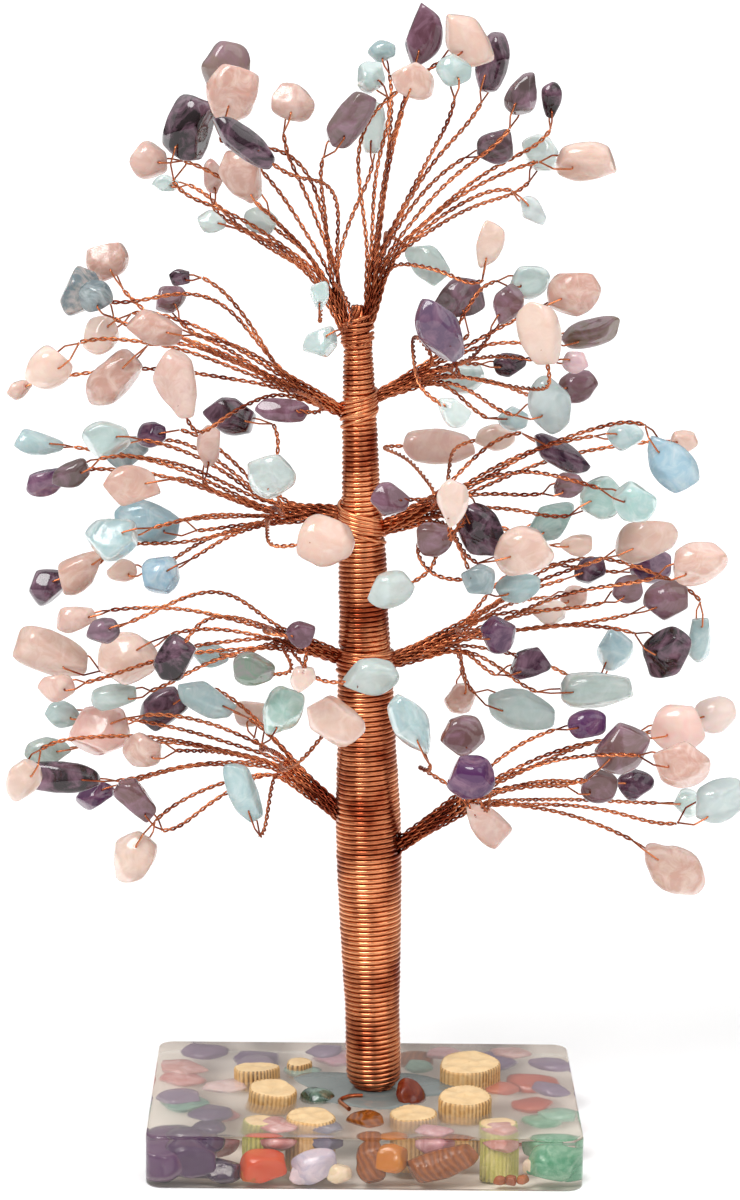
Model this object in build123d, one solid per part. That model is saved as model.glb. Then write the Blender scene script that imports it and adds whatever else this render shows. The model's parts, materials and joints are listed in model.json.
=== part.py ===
# A gemstone tree: copper wires with tumbled chips for leaves, gathered into ten
# branches and a wound trunk, whose foot is cast in a clear slab full of stones.
# Millimetres, +Z up, origin at the middle of the slab's underside.
from build123d import *
import itertools
import math
import os

import numpy as np

# Clear slab
slab_width = 93.0
slab_depth = 66.0
slab_height = 11.6
slab_corner_radius = 4.0
slab_edge_radius = 0.8

# The eye that saw the tree, measured from the foot of the trunk on the slab's top.
# Places further on are picked at pixels of that view and set at a depth behind the trunk.
eye_distance = 807.0
eye_height = 270.7
eye_side = -10.6
eye_pitch = 11.31
eye_turn = 0.60
eye_roll = 0.68
eye_focal_pixels = 3842
frame_centre_pixels = (370, 600)
foot_pixels = (374, 1088)
trunk_top_pixels = (357, 312)

# Trunk: a tapered core of gathered wires, wound with one copper wire in stretches
trunk_foot_x = 2.2
trunk_foot_y = 0.0
trunk_foot_depth = 7.0
wrap_wire_diameter = 0.95
wrap_pitch = 1.45
wrap_clearance = 0.1
most_wrap_turns = 24
trunk_row_width_pixels = (
    (1088, 56), (1010, 55), (930, 62), (860, 66), (810, 66), (750, 60), (690, 57),
    (630, 51), (560, 49), (500, 40), (440, 36), (400, 34), (345, 29), (312, 26),
)
wrap_row_pixels = {
    "trunk_wrap_foot": (1081, 985),
    "trunk_wrap_lower": (976, 882),
    "trunk_wrap_middle": (778, 692),
    "trunk_wrap_waist": (630, 552),
    "trunk_wrap_neck": (488, 430),
    "trunk_wrap_top": (382, 347),
}

# Free tail of the winding wire on the slab, in front of the trunk
tail_diameter = 1.0
tail_rise = 0.3
tail_reach = 9.0
tail_sweep = 6.0
tail_bend = 2.5

# Branches: a bundle that turns on a ball at its root and spreads into leaf wires
socket_clearance = 0.3
ball_share = 1.35
socket_mouth_share = 1.18
branch_swing = 10.0
lane_pitch = 1.12
lane_spread_share = 0.595
fan_rim = 0.35
neck_length_share = 0.42
swing_spare = 3.0
swing_steps = 3
seam_turn = 90.0

# Leaf wires: a folded wire, twisted into a stem, whose loop passes through a chip
loop_wire_diameter = 0.4
pair_gap = 0.02
stem_skin = 0.065
stem_diameter = 2 * loop_wire_diameter + pair_gap + 2 * stem_skin
loop_stand_off = 0.65
loop_bend = 0.55
loop_neck_share = 0.8
leg_root = 0.6
leg_exit = 0.35
stem_start_run = 2.4
stem_end_run = 2.2
stem_bend_share = 0.45
stem_middle_shares = (0.58, 0.42, 0.74)
stem_bow_shares = (0.07, 0.14, 0.22, 0.32, 0.44)
stem_bow_sides = 16
stem_room = 0.45
stem_near_share = 0.12
route_step = 0.6
blocked_share = 0.5
stem_start_shares = (1.0, 0.5, 1.9, 3.2)

# Chips: tumbled stones, drilled near the edge that faces the branch
chip_bore_diameter = 1.0
chip_thickness_share = 0.74
chip_bore_share = 0.25
chip_lean = 22.0
chip_smallest = 3.6
chip_room = 0.7
lane_depth = 8.0
lane_nudge = 2.0
lane_nudges = 14

# Outlines of a chip one unit long and wide, from the drilled end to the other:
# distance from the long axis and place along it, as ends and middles of arcs
chip_outline_shares = {
    "pebble": ((0, -0.5), (0.27, -0.425), (0.42, -0.25), (0.5, 0.0), (0.42, 0.25), (0.27, 0.425), (0, 0.5)),
    "drop": ((0, -0.5), (0.15, -0.43), (0.26, -0.25), (0.43, 0.0), (0.45, 0.22), (0.3, 0.42), (0, 0.5)),
    "bud": ((0, -0.5), (0.29, -0.42), (0.45, -0.25), (0.43, 0.02), (0.26, 0.27), (0.13, 0.44), (0, 0.5)),
    "column": ((0, -0.5), (0.3, -0.455), (0.46, -0.25), (0.5, 0.0), (0.46, 0.25), (0.32, 0.45), (0, 0.5)),
}

# Stones of the slab are round discs with a full round edge, long pebbles, or upright slices:
# half thickness of a disc and radius of a pebble as shares of the size across, height of a slice
flat_half_share = 0.22
pebble_radius_shares = {"pebble": 0.35, "stick": 0.20}
drum_height_share = 0.9
drum_edge_radius = 0.8

# Neck of each pair's bundles where it leaves the trunk
leader_neck_radius = 0.95
upper_neck_radius = 1.15
middle_neck_radius = 1.4
lower_neck_radius = 1.6
bottom_neck_radius = 1.7

# Root of each branch on the trunk: row, compass angle (0 right, 90 behind, 180 left),
# radius of its neck, and where the bundle spreads: pixel and depth in lanes
branch_root_pixels = {
    "leader_left": (334, 190, leader_neck_radius, (331, 286), 0.2),
    "leader_right": (326, 350, leader_neck_radius, (378, 268), -0.2),
    "upper_left": (412, 180, upper_neck_radius, (291, 386), -0.6),
    "upper_right": (399, 10, upper_neck_radius, (429, 373), 0.6),
    "middle_left": (512, 170, middle_neck_radius, (281, 512), 0.8),
    "middle_right": (529, 350, middle_neck_radius, (431, 510), -0.8),
    "lower_left": (656, 185, lower_neck_radius, (287, 640), -0.8),
    "lower_right": (663, 5, lower_neck_radius, (449, 640), 0.8),
    "bottom_left": (815, 172, bottom_neck_radius, (289, 768), 0.8),
    "bottom_right": (846, 352, bottom_neck_radius, (466, 801), -0.8),
}

# Leaves of each branch: stone, pixel across and down, long and wide pixels,
# long axis from level, depth in lanes (minus is nearer), outline
rose, dark, aqua = "rose_quartz", "dark_quartz", "aquamarine"
leaf_pixels = {
    "leader_left": (
        (rose, 233, 90, 61, 50, 75, -1, "pebble"),
        (dark, 226, 70, 58, 46, 80, 1, "pebble"),
        (dark, 188, 130, 67, 47, 74, 0, "column"),
        (dark, 243, 141, 70, 26, -37, -3, "column"),
        (rose, 149, 160, 38, 36, 0, 1, "pebble"),
        (aqua, 165, 184, 26, 18, 0, 3, "pebble"),
        (rose, 213, 178, 36, 24, 90, 2, "drop"),
        (rose, 245, 178, 62, 44, -55, -1, "drop"),
        (rose, 292, 102, 48, 34, -15, 1, "pebble"),
        (aqua, 211, 221, 30, 22, -15, -1, "pebble"),
        (aqua, 262, 222, 35, 28, -30, 2, "pebble"),
        (dark, 350, 120, 62, 32, 55, -1, "column"),
        (aqua, 373, 127, 50, 24, 90, 1, "column"),
        (aqua, 320, 295, 30, 20, 90, -4, "drop"),
        (aqua, 320, 342, 36, 32, 30, -2, "pebble"),
    ),
    "leader_right": (
        (dark, 423, 34, 62, 36, 75, 1, "column"),
        (rose, 468, 42, 68, 38, -55, -1, "pebble"),
        (dark, 493, 61, 58, 30, 75, 1, "column"),
        (aqua, 455, 69, 35, 31, 0, -3, "pebble"),
        (rose, 414, 80, 44, 34, -20, -2, "pebble"),
        (aqua, 382, 52, 28, 22, 20, 3, "pebble"),
        (aqua, 371, 76, 35, 28, 40, 0, "pebble"),
        (dark, 523, 93, 45, 33, 70, -1, "bud"),
        (dark, 551, 101, 36, 22, 90, 2, "drop"),
        (dark, 497, 146, 40, 33, 20, 1, "pebble"),
        (aqua, 540, 153, 40, 33, -20, 3, "pebble"),
        (rose, 589, 162, 68, 40, 0, 0, "pebble"),
        (aqua, 533, 212, 36, 24, -45, -1, "bud"),
        (rose, 489, 245, 50, 30, 80, -3, "drop"),
        (aqua, 428, 262, 58, 38, -35, 4, "drop"),
    ),
    "upper_left": (
        (rose, 106, 259, 44, 38, 30, 1, "pebble"),
        (rose, 79, 290, 50, 36, 70, 0, "pebble"),
        (aqua, 96, 296, 36, 30, 40, -1, "pebble"),
        (rose, 101, 334, 45, 34, 35, 0, "pebble"),
        (rose, 154, 327, 54, 32, -10, -2, "column"),
        (dark, 180, 277, 22, 18, 0, -1, "pebble"),
        (dark, 169, 298, 36, 26, 25, 1, "pebble"),
        (rose, 46, 370, 52, 44, 40, -1, "bud"),
        (rose, 20, 388, 28, 20, 20, 1, "drop"),
        (rose, 114, 378, 62, 42, 45, 0, "pebble"),
        (rose, 177, 386, 72, 46, -73, -3, "drop"),
        (dark, 283, 410, 50, 22, -5, -4, "column"),
    ),
    "upper_right": (
        (dark, 460, 298, 54, 40, 15, 1, "pebble"),
        (dark, 440, 331, 64, 40, -65, -2, "column"),
        (dark, 507, 305, 46, 32, 60, -2, "drop"),
        (aqua, 530, 281, 38, 34, 0, 1, "pebble"),
        (rose, 573, 292, 52, 44, 25, 0, "pebble"),
        (rose, 540, 333, 60, 40, -75, -3, "column"),
        (dark, 591, 332, 56, 28, 15, 1, "column"),
        (rose, 576, 361, 28, 22, 0, -2, "pebble"),
        (aqua, 463, 376, 40, 33, 10, 4, "pebble"),
        (dark, 509, 364, 34, 24, 0, 2, "pebble"),
        (dark, 577, 386, 40, 30, 20, 3, "pebble"),
        (aqua, 550, 406, 62, 40, -75, -1, "pebble"),
        (aqua, 453, 411, 38, 30, -30, -4, "drop"),
        (aqua, 514, 418, 30, 24, 0, 1, "pebble"),
    ),
    "middle_left": (
        (dark, 232, 416, 52, 34, -10, 2, "column"),
        (rose, 209, 449, 46, 28, 80, 0, "drop"),
        (aqua, 270, 474, 52, 44, 20, -2, "pebble"),
        (aqua, 37, 443, 52, 28, -5, 1, "drop"),
        (dark, 45, 481, 42, 28, 20, 0, "pebble"),
        (dark, 72, 474, 40, 26, 30, -2, "pebble"),
        (aqua, 106, 439, 44, 36, 0, 0, "pebble"),
        (aqua, 127, 453, 44, 30, 25, 3, "pebble"),
        (dark, 152, 434, 32, 24, 10, 1, "pebble"),
        (rose, 132, 485, 58, 38, 10, -1, "column"),
        (aqua, 149, 521, 66, 42, -10, 1, "pebble"),
        (aqua, 111, 538, 54, 42, 15, -1, "pebble"),
        (rose, 324, 540, 56, 50, 10, -3, "pebble"),
        (rose, 80, 570, 58, 38, 35, 1, "drop"),
        (dark, 45, 586, 42, 36, 20, 3, "pebble"),
        (rose, 122, 570, 28, 24, 0, 3, "pebble"),
        (aqua, 160, 576, 42, 38, 30, -1, "pebble"),
    ),
    "middle_right": (
        (rose, 440, 446, 80, 32, 0, 4, "column"),
        (rose, 495, 437, 40, 26, 10, 2, "pebble"),
        (aqua, 625, 436, 36, 28, 0, -1, "pebble"),
        (aqua, 670, 462, 66, 46, -55, -2, "drop"),
        (rose, 684, 441, 30, 22, 0, 1, "pebble"),
        (dark, 561, 454, 64, 24, -28, 0, "column"),
        (dark, 569, 484, 32, 26, 20, -2, "pebble"),
        (aqua, 602, 497, 44, 40, 30, 0, "pebble"),
        (aqua, 634, 501, 42, 40, -20, -3, "pebble"),
        (dark, 389, 499, 40, 34, 0, -3, "pebble"),
        (rose, 452, 505, 50, 34, 85, -5, "drop"),
        (dark, 481, 532, 60, 40, -65, -2, "column"),
        (dark, 433, 538, 38, 34, 20, -3, "pebble"),
        (rose, 524, 551, 58, 48, 15, -3, "pebble"),
        (aqua, 552, 520, 48, 38, 30, 2, "pebble"),
        (aqua, 479, 580, 36, 34, 0, -4, "pebble"),
        (aqua, 518, 587, 42, 30, 10, -1, "pebble"),
        (rose, 577, 545, 36, 24, 0, -1, "drop"),
        (aqua, 390, 589, 46, 36, 20, -3, "pebble"),
    ),
    "lower_left": (
        (rose, 78, 618, 46, 28, 15, -1, "drop"),
        (dark, 103, 631, 32, 26, 20, -3, "pebble"),
        (rose, 47, 651, 80, 42, -20, 0, "column"),
        (rose, 127, 658, 60, 54, 30, -1, "pebble"),
        (dark, 175, 658, 46, 34, 60, -3, "column"),
        (rose, 56, 687, 36, 28, 10, -2, "pebble"),
        (aqua, 211, 655, 36, 22, 0, 0, "pebble"),
        (dark, 252, 669, 44, 34, -10, -3, "pebble"),
        (dark, 301, 634, 30, 26, 0, -5, "pebble"),
        (rose, 303, 677, 28, 24, 80, -4, "pebble"),
        (aqua, 116, 696, 50, 32, 10, 0, "drop"),
        (aqua, 370, 677, 54, 38, 10, -3, "pebble"),
    ),
    "lower_right": (
        (rose, 646, 539, 60, 44, 25, 1, "pebble"),
        (rose, 697, 563, 56, 42, 20, -2, "pebble"),
        (dark, 652, 566, 40, 32, 10, 3, "pebble"),
        (dark, 629, 588, 32, 28, 30, 0, "pebble"),
        (dark, 667, 601, 46, 42, 20, 1, "pebble"),
        (dark, 590, 570, 30, 26, 20, 2, "pebble"),
        (rose, 575, 597, 28, 24, 0, 4, "pebble"),
        (rose, 551, 611, 38, 26, 0, 1, "pebble"),
        (dark, 499, 634, 38, 36, 0, -2, "pebble"),
        (dark, 530, 663, 42, 34, 20, 0, "pebble"),
        (aqua, 613, 650, 48, 40, 70, 3, "drop"),
        (dark, 667, 652, 58, 44, 60, 0, "pebble"),
        (aqua, 699, 636, 46, 24, 90, 2, "column"),
        (aqua, 593, 689, 82, 34, 3, 1, "column"),
        (aqua, 520, 709, 68, 40, -20, 2, "pebble"),
        (rose, 461, 698, 36, 28, 0, 3, "pebble"),
    ),
    "bottom_left": (
        (dark, 163, 708, 52, 34, 35, 2, "column"),
        (aqua, 208, 699, 62, 30, -25, 1, "column"),
        (rose, 250, 712, 38, 28, 10, 2, "pebble"),
        (aqua, 281, 712, 52, 44, 60, -2, "drop"),
        (rose, 334, 719, 62, 42, -35, -3, "pebble"),
        (aqua, 62, 714, 36, 26, 0, 2, "pebble"),
        (rose, 100, 730, 58, 50, 20, 0, "pebble"),
        (rose, 143, 750, 38, 36, 0, -2, "pebble"),
        (aqua, 46, 752, 48, 28, 10, 3, "pebble"),
        (dark, 61, 777, 84, 28, -3, 1, "column"),
        (rose, 22, 781, 48, 34, 60, -1, "bud"),
        (dark, 94, 794, 42, 30, 20, 3, "pebble"),
        (dark, 138, 801, 54, 36, -50, -1, "drop"),
        (aqua, 244, 792, 68, 28, -70, -2, "column"),
    ),
    "bottom_right": (
        (aqua, 411, 724, 60, 34, -65, -4, "column"),
        (dark, 463, 735, 48, 38, 0, -3, "pebble"),
        (dark, 471, 776, 50, 44, 20, -5, "pebble"),
        (rose, 487, 823, 58, 36, -45, -3, "drop"),
        (dark, 587, 724, 38, 28, 10, -1, "pebble"),
        (dark, 622, 747, 58, 46, 45, -2, "pebble"),
        (dark, 599, 786, 38, 34, 0, 0, "pebble"),
        (dark, 634, 784, 36, 30, 0, 2, "pebble"),
        (rose, 679, 727, 54, 48, 10, -1, "pebble"),
        (rose, 681, 763, 54, 46, -10, -3, "pebble"),
        (rose, 714, 714, 42, 34, 20, 2, "pebble"),
        (aqua, 717, 801, 58, 42, 30, 0, "pebble"),
        (aqua, 688, 803, 34, 28, 0, 3, "pebble"),
    ),
}

# The chip that hangs furthest out below each bottom branch, free to turn on its loop
lone_leaf_pixels = {
    "bottom_left": ("lone_chip_left", 134, 856, 52, 44, 60, 0, "pebble"),
    "bottom_right": ("lone_chip_right", 671, 867, 70, 48, -35, 0, "drop"),
}

# Stones cast in the slab: node, then shares of half its width, half its depth and its height,
# size as a share of its height, outline, lean and turn in degrees
cast_stone_shares = (
    ("cast_amethyst", -0.785, -0.836, 0.475, 1.15, "pebble", 90, 90),
    ("cast_carnelian", -0.462, -0.876, 0.37, 0.90, "pebble", 84, 90),
    ("cast_rose", -0.226, -0.876, 0.40, 0.86, "pebble", 76, 90),
    ("cast_tiger_eye", 0.032, -0.867, 0.45, 0.78, "pebble", 0, 0),
    ("cast_tiger_eye", 0.344, -0.882, 0.455, 1.38, "stick", 75, 90),
    ("cast_aventurine", 0.856, -0.867, 0.46, 0.95, "pebble", 90, 90),
    ("ribbed_slices", -0.484, -0.633, 0.485, 0.62, "drum", 0, 0),
    ("ribbed_slices", 0.615, -0.652, 0.485, 0.69, "drum", 0, 0),
    ("cast_aventurine", 0.81, -0.49, 0.52, 0.76, "flat", -6, 0),
    ("cast_rose", -0.67, -0.42, 0.50, 0.78, "flat", 10, 0),
    ("cast_rose", -0.86, 0.30, 0.55, 0.90, "flat", 8, 0),
    ("cast_aventurine", -0.84, -0.20, 0.50, 0.95, "flat", -8, 30),
    ("cast_amethyst", -0.52, 0.72, 0.52, 1.05, "flat", 5, 0),
    ("cast_rose", -0.14, 0.76, 0.50, 1.00, "flat", -6, 0),
    ("cast_tiger_eye", 0.24, 0.76, 0.45, 0.95, "flat", 6, 0),
    ("cast_amethyst", 0.62, 0.74, 0.50, 1.05, "flat", 7, 40),
    ("cast_carnelian", 0.80, 0.26, 0.55, 1.05, "flat", 9, 20),
    ("cast_carnelian", 0.78, -0.18, 0.52, 0.90, "flat", -9, 20),
)

# Slices and stones that stand proud of the slab round the trunk: node, shares of half its width
# and depth, share of its height for the middle, size share of its height, outline, lean, turn
proud_stone_shares = (
    ("ribbed_slices", 0.501, 0.230, 0.897, 1.17, "drum", 4, 0),
    ("ribbed_slices", 0.465, -0.412, 0.862, 0.93, "drum", 8, 0),
    ("ribbed_slices", -0.434, -0.230, 0.793, 0.91, "drum", 5, 40),
    ("ribbed_slices", -0.510, 0.236, 0.741, 0.83, "drum", 6, 200),
    ("ribbed_slices", -0.310, 0.473, 0.655, 0.50, "drum", 3, 0),
    ("ribbed_slices", -0.247, -0.600, 0.620, 0.90, "drum", 3, 0),
    ("ribbed_slices", 0.226, -0.512, 0.603, 0.86, "drum", 3, 0),
    ("cast_tiger_eye", 0.004, -0.636, 0.95, 0.71, "flat", 0, 0),
    ("cast_carnelian", 0.219, -0.212, 1.06, 0.67, "flat", 58, 60),
    ("cast_aventurine", -0.2215, -0.197, 0.93, 0.69, "pebble", 86, 75),
)

golden_turn = math.pi * (3.0 - math.sqrt(5.0))


def unit(v):
    return v / np.linalg.norm(v)


def eye_frame():
    pitch = math.radians(eye_pitch)
    turn = math.radians(eye_turn)
    roll = math.radians(eye_roll)
    ahead = np.array([math.sin(turn) * math.cos(pitch), math.cos(turn) * math.cos(pitch), -math.sin(pitch)])
    right = np.array([math.cos(turn), -math.sin(turn), 0])
    up = np.cross(right, ahead)
    rolled_right = right * math.cos(roll) + up * math.sin(roll)
    rolled_up = up * math.cos(roll) - right * math.sin(roll)
    return ahead, rolled_right, rolled_up


eye = np.array([eye_side, -eye_distance, eye_height])
eye_ahead, eye_right, eye_up = eye_frame()
foot = np.array([trunk_foot_x, trunk_foot_y, slab_height])


def sight(pixel, depth):
    # where the line of sight through a pixel meets the upright plane at that depth, and its range
    across = (pixel[0] - frame_centre_pixels[0]) / eye_focal_pixels
    down = (pixel[1] - frame_centre_pixels[1]) / eye_focal_pixels
    ray = eye_ahead + eye_right * across - eye_up * down
    reach = (depth - eye[1]) / ray[1]
    return eye + ray * reach, reach


sight_foot = sight(foot_pixels, 0)[0]


def seen(pixel, depth):
    return foot + sight(pixel, depth)[0] - sight_foot


def pixel_size(pixel, depth):
    return sight(pixel, depth)[1] / eye_focal_pixels


# The trunk leans along one straight axis from its foot to its top
trunk_top = seen(trunk_top_pixels, 0)
trunk_axis = unit(trunk_top - foot)
trunk_length = float(np.linalg.norm(trunk_top - foot))
trunk_side = unit(np.cross(np.array([0, 1, 0]), trunk_axis))
trunk_back = np.cross(trunk_axis, trunk_side)


def trunk_height(row):
    # how far up the axis a pixel row lies
    share = (foot_pixels[1] - row) / (foot_pixels[1] - trunk_top_pixels[1])
    column = foot_pixels[0] + share * (trunk_top_pixels[0] - foot_pixels[0])
    return float((seen((column, row), 0) - foot) @ trunk_axis)


trunk_heights = [trunk_height(row) for row, width in trunk_row_width_pixels]
trunk_radii = [width * pixel_size((foot_pixels[0], row), 0) / 2 for row, width in trunk_row_width_pixels]
wrap_depth = wrap_wire_diameter + wrap_clearance


def trunk_radius(height):
    return float(np.interp(height, trunk_heights, trunk_radii))


def core_radius(height):
    # under the winding
    return trunk_radius(height) - wrap_depth


def wrap_span(name):
    low, high = (trunk_height(row) for row in wrap_row_pixels[name])
    return low, high


def core_profile():
    # the full trunk at the branches, stepped in under each stretch of winding
    spans = [wrap_span(name) for name in wrap_row_pixels]
    profile = [(trunk_radius(0) - wrap_depth, -trunk_foot_depth)]
    for k, (low, high) in enumerate(spans):
        under, over = low - wrap_pitch, high + wrap_pitch
        joined = k > 0 and under - spans[k - 1][1] < 3 * wrap_pitch
        if k > 0 and not joined:
            profile.append((trunk_radius(under), under))
        if not joined:
            profile.append((core_radius(under), max(under, 0)))
        knots = [h for h in trunk_heights if under < h < over]
        profile += [(core_radius(h), h) for h in knots if h > 0]
        follows = k + 1 < len(spans) and spans[k + 1][0] - wrap_pitch - high < 3 * wrap_pitch
        if not follows:
            profile.append((core_radius(over), over))
            profile.append((trunk_radius(over), over))
            upper = spans[k + 1][0] - wrap_pitch if k + 1 < len(spans) else trunk_length
            profile += [(trunk_radius(h), h) for h in trunk_heights if over < h < upper - wrap_pitch]
    profile.append((trunk_radius(trunk_length), trunk_length))
    return profile


def on_trunk(height, radius, angle):
    spoke = trunk_side * math.cos(angle) + trunk_back * math.sin(angle)
    return foot + trunk_axis * height + spoke * radius


def turned(points, pivot, degrees):
    # points turned about the upright line through a pivot
    c, s = math.cos(math.radians(degrees)), math.sin(math.radians(degrees))
    spin = np.array([[c, -s, 0], [s, c, 0], [0, 0, 1]])
    return (points - pivot) @ spin.T + pivot


def vector(p):
    return Vector(float(p[0]), float(p[1]), float(p[2]))


def tube(points, radii, diameter):
    # a round wire along straight runs joined by tangent arcs
    path = FilletPolyline(*[vector(p) for p in points], radius=radii)
    section = Plane(origin=path @ 0, z_dir=path % 0) * Circle(diameter / 2)
    return sweep(section, path)


def bend_radii(points):
    # arcs as large as the two runs at each corner allow
    radii = []
    for before, corner, after in zip(points, points[1:], points[2:]):
        one, two = corner - before, after - corner
        half = math.acos(np.clip(unit(one) @ unit(two), -1, 1)) / 2
        shorter = min(np.linalg.norm(one), np.linalg.norm(two))
        radii.append(stem_bend_share * shorter / math.tan(half))
    return radii


# Branches: root ball, spread point and lanes

def make_branch(name):
    row, compass, neck, fan_pixel, fan_lane = branch_root_pixels[name]
    height = trunk_height(row)
    ball = neck * ball_share
    socket = ball + socket_clearance
    mouth = neck * socket_mouth_share + socket_clearance
    sunk = math.sqrt(socket**2 - mouth**2)
    pivot = on_trunk(height, trunk_radius(height) - sunk, math.radians(compass))
    fan = seen(fan_pixel, fan_lane * lane_depth)
    way = unit(fan - pivot)
    side = unit(np.cross(way, np.array([0, 1, 0])))
    other = np.cross(way, side)
    count = len(leaf_pixels[name]) + (name in lone_leaf_pixels)
    lanes = []
    for k in range(count):
        reach = lane_pitch * lane_spread_share * math.sqrt(k + 1 / 2)
        lanes.append(fan + reach * (math.cos(k * golden_turn) * side + math.sin(k * golden_turn) * other))
    spread = lane_pitch * lane_spread_share * math.sqrt(count) + stem_diameter / 2 + fan_rim
    return dict(
        name=name, pivot=pivot, ball=ball, socket=socket, neck=neck, fan=fan, way=way,
        side=side, other=other, lanes=lanes, spread=spread,
    )


branches = {name: make_branch(name) for name in branch_root_pixels}


# Leaves: place of each chip, then the route of its wire

def chip_axes(away, bore_way, lean):
    # columns: across, along the bore, along the chip from its drilled end
    z = unit(away)
    y = unit(bore_way - (bore_way @ z) * z)
    x = np.cross(y, z)
    c, s = math.cos(math.radians(lean)), math.sin(math.radians(lean))
    return np.column_stack([c * x + s * y, c * y - s * x, z])


def make_leaf(branch, row, index, depth):
    node, column, line, long, wide, angle, lane, outline = row
    pixel = (column, line)
    centre = seen(pixel, depth)
    size = pixel_size(pixel, depth)
    long = max(long * size, chip_smallest)
    wide = max(wide * size, chip_smallest)
    turn = math.radians(angle)
    along = np.array([math.cos(turn), 0, math.sin(turn)])
    across = np.array([-math.sin(turn), 0, math.cos(turn)])
    home = unit(branch["fan"] - centre)
    ways = [(along, long, wide), (-along, long, wide), (across, wide, long), (-across, wide, long)]
    # stones with a narrow end are hung by it or by the opposite one, others by the nearest edge
    choices = ways if outline in ("pebble",) else ways[:2]
    stem_way, length, width = max(choices, key=lambda w: home @ w[0] + 0.15 * (w[1] > w[2]))
    lean = chip_lean * math.sin(index * golden_turn)
    axes = chip_axes(-stem_way, np.array([0, 1, 0]), lean)
    thick = chip_thickness_share * min(length, width)
    bore_radius_share = chip_outline_shares[outline][2][0]
    half_at_bore = bore_radius_share * thick
    bore = centre - axes[:, 2] * chip_bore_share * length
    leg = half_at_bore + loop_stand_off
    past = (1 / 2 - chip_bore_share) * length + loop_wire_diameter
    neck = past + loop_neck_share * leg + leg_exit
    knot = bore - axes[:, 2] * neck
    return dict(
        node=node, outline=outline, centre=centre, axes=axes, size=np.array([width, thick, length]),
        bore=bore, leg=leg, past=past, neck=neck, knot=knot, branch=branch["name"],
    )


def loop_points(leaf):
    # out of the stem's end to one face of the chip, through the bore and back
    toward, b = -leaf["axes"][:, 2], leaf["axes"][:, 1]

    def at(u, v):
        return leaf["bore"] + toward * u + b * v

    leg, past, neck = leaf["leg"], leaf["past"], leaf["neck"]
    half = loop_wire_diameter / 2 + pair_gap / 2
    out = [at(neck + leg_root, half), at(neck - leg_exit, half), at(past, leg), at(0, leg)]
    back = [at(0, -leg), at(past, -leg), at(neck - leg_exit, -half), at(neck + leg_root, -half)]
    return out + back


def shell(count):
    # evenly spread directions on a ball
    k = np.arange(count) + 1 / 2
    tall = 1 - 2 * k / count
    round_ = np.sqrt(1 - tall**2)
    return np.column_stack([round_ * np.cos(k * golden_turn), round_ * np.sin(k * golden_turn), tall])


shell_ways = shell(48)


def leaf_points(leaf):
    # points on the chip's skin and along its loop
    skin = leaf["centre"] + (shell_ways * leaf["size"] / 2) @ leaf["axes"].T
    corners = loop_points(leaf)
    legs = [a + (b - a) * t for a, b in zip(corners, corners[1:]) for t in (0, 0.5)]
    return np.vstack([skin, np.array(legs), leaf["knot"][None]])


def inside_chips(points, leaves, room):
    # least share of any chip's grown ellipsoid that a point reaches
    if not leaves:
        return 9.0
    centres = np.array([l["centre"] for l in leaves])
    axes = np.array([l["axes"] for l in leaves])
    halves = np.array([l["size"] for l in leaves]) / 2 + room
    local = np.einsum("nki,kij->nkj", points[:, None, :] - centres, axes) / halves
    return float(np.sqrt((local**2).sum(axis=2)).min())


def swing_sets(points, own, other):
    # the points as another branch sees them while either swings or both do
    sets = [points]
    for step in range(1, swing_steps + 1):
        for degrees in (-branch_swing * step / swing_steps, branch_swing * step / swing_steps):
            sets.append(turned(points, own["pivot"], degrees))
            sets.append(turned(points, other["pivot"], -degrees))
    for degrees in (-branch_swing, branch_swing):
        sets.append(turned(turned(points, own["pivot"], degrees), other["pivot"], -degrees))
    return np.vstack(sets)


def trunk_clear(points, room):
    heights = (points - foot) @ trunk_axis
    off = np.linalg.norm(points - foot - heights[:, None] * trunk_axis, axis=1)
    skin = np.interp(heights, trunk_heights, trunk_radii)
    low = heights < trunk_length + room
    return bool(np.all((off > skin + room) | ~low)) and bool(np.all(points[:, 2] > slab_height + room))


def chip_is_clear(leaf, placed):
    own = branches[leaf["branch"]]
    points = leaf_points(leaf)
    for other in branches.values():
        chips = [l for l in placed if l["branch"] == other["name"]]
        swung = points if other is own else swing_sets(points, own, other)
        if chips and inside_chips(swung, chips, chip_room) < 1:
            return False
    for degrees in (-branch_swing, 0, branch_swing):
        if not trunk_clear(turned(points, own["pivot"], degrees), chip_room):
            return False
    return True


def place_leaves():
    # each chip keeps its pixel and steps in depth until it is clear of those before it
    placed = []
    for name, rows in leaf_pixels.items():
        branch = branches[name]
        lone = [lone_leaf_pixels[name]] if name in lone_leaf_pixels else []
        for index, row in enumerate(list(rows) + lone):
            for step in range(2 * lane_nudges + 1):
                offset = (step + 1) // 2 * (1 if step % 2 else -1)
                leaf = make_leaf(branch, row, index, row[6] * lane_depth + offset * lane_nudge)
                if chip_is_clear(leaf, placed):
                    break
            else:
                print("no clear place:", name, row)
            placed.append(leaf)
    return placed


def along_route(points):
    # the route's corners rounded as the wire takes them, as close points
    out = [points[0]]
    for before, corner, after in zip(points, points[1:], points[2:]):
        cut = stem_bend_share * min(np.linalg.norm(corner - before), np.linalg.norm(after - corner))
        one = corner + cut * unit(before - corner)
        two = corner + cut * unit(after - corner)
        for t in (0, 0.25, 0.5, 0.75, 1):
            out.append((1 - t) ** 2 * one + 2 * t * (1 - t) * corner + t**2 * two)
    out.append(points[-1])
    close = []
    for a, b in zip(out, out[1:]):
        steps = math.ceil(np.linalg.norm(b - a) / route_step)
        close += [a + (b - a) * k / steps for k in range(steps)]
    return np.array(close + [out[-1]])


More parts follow.
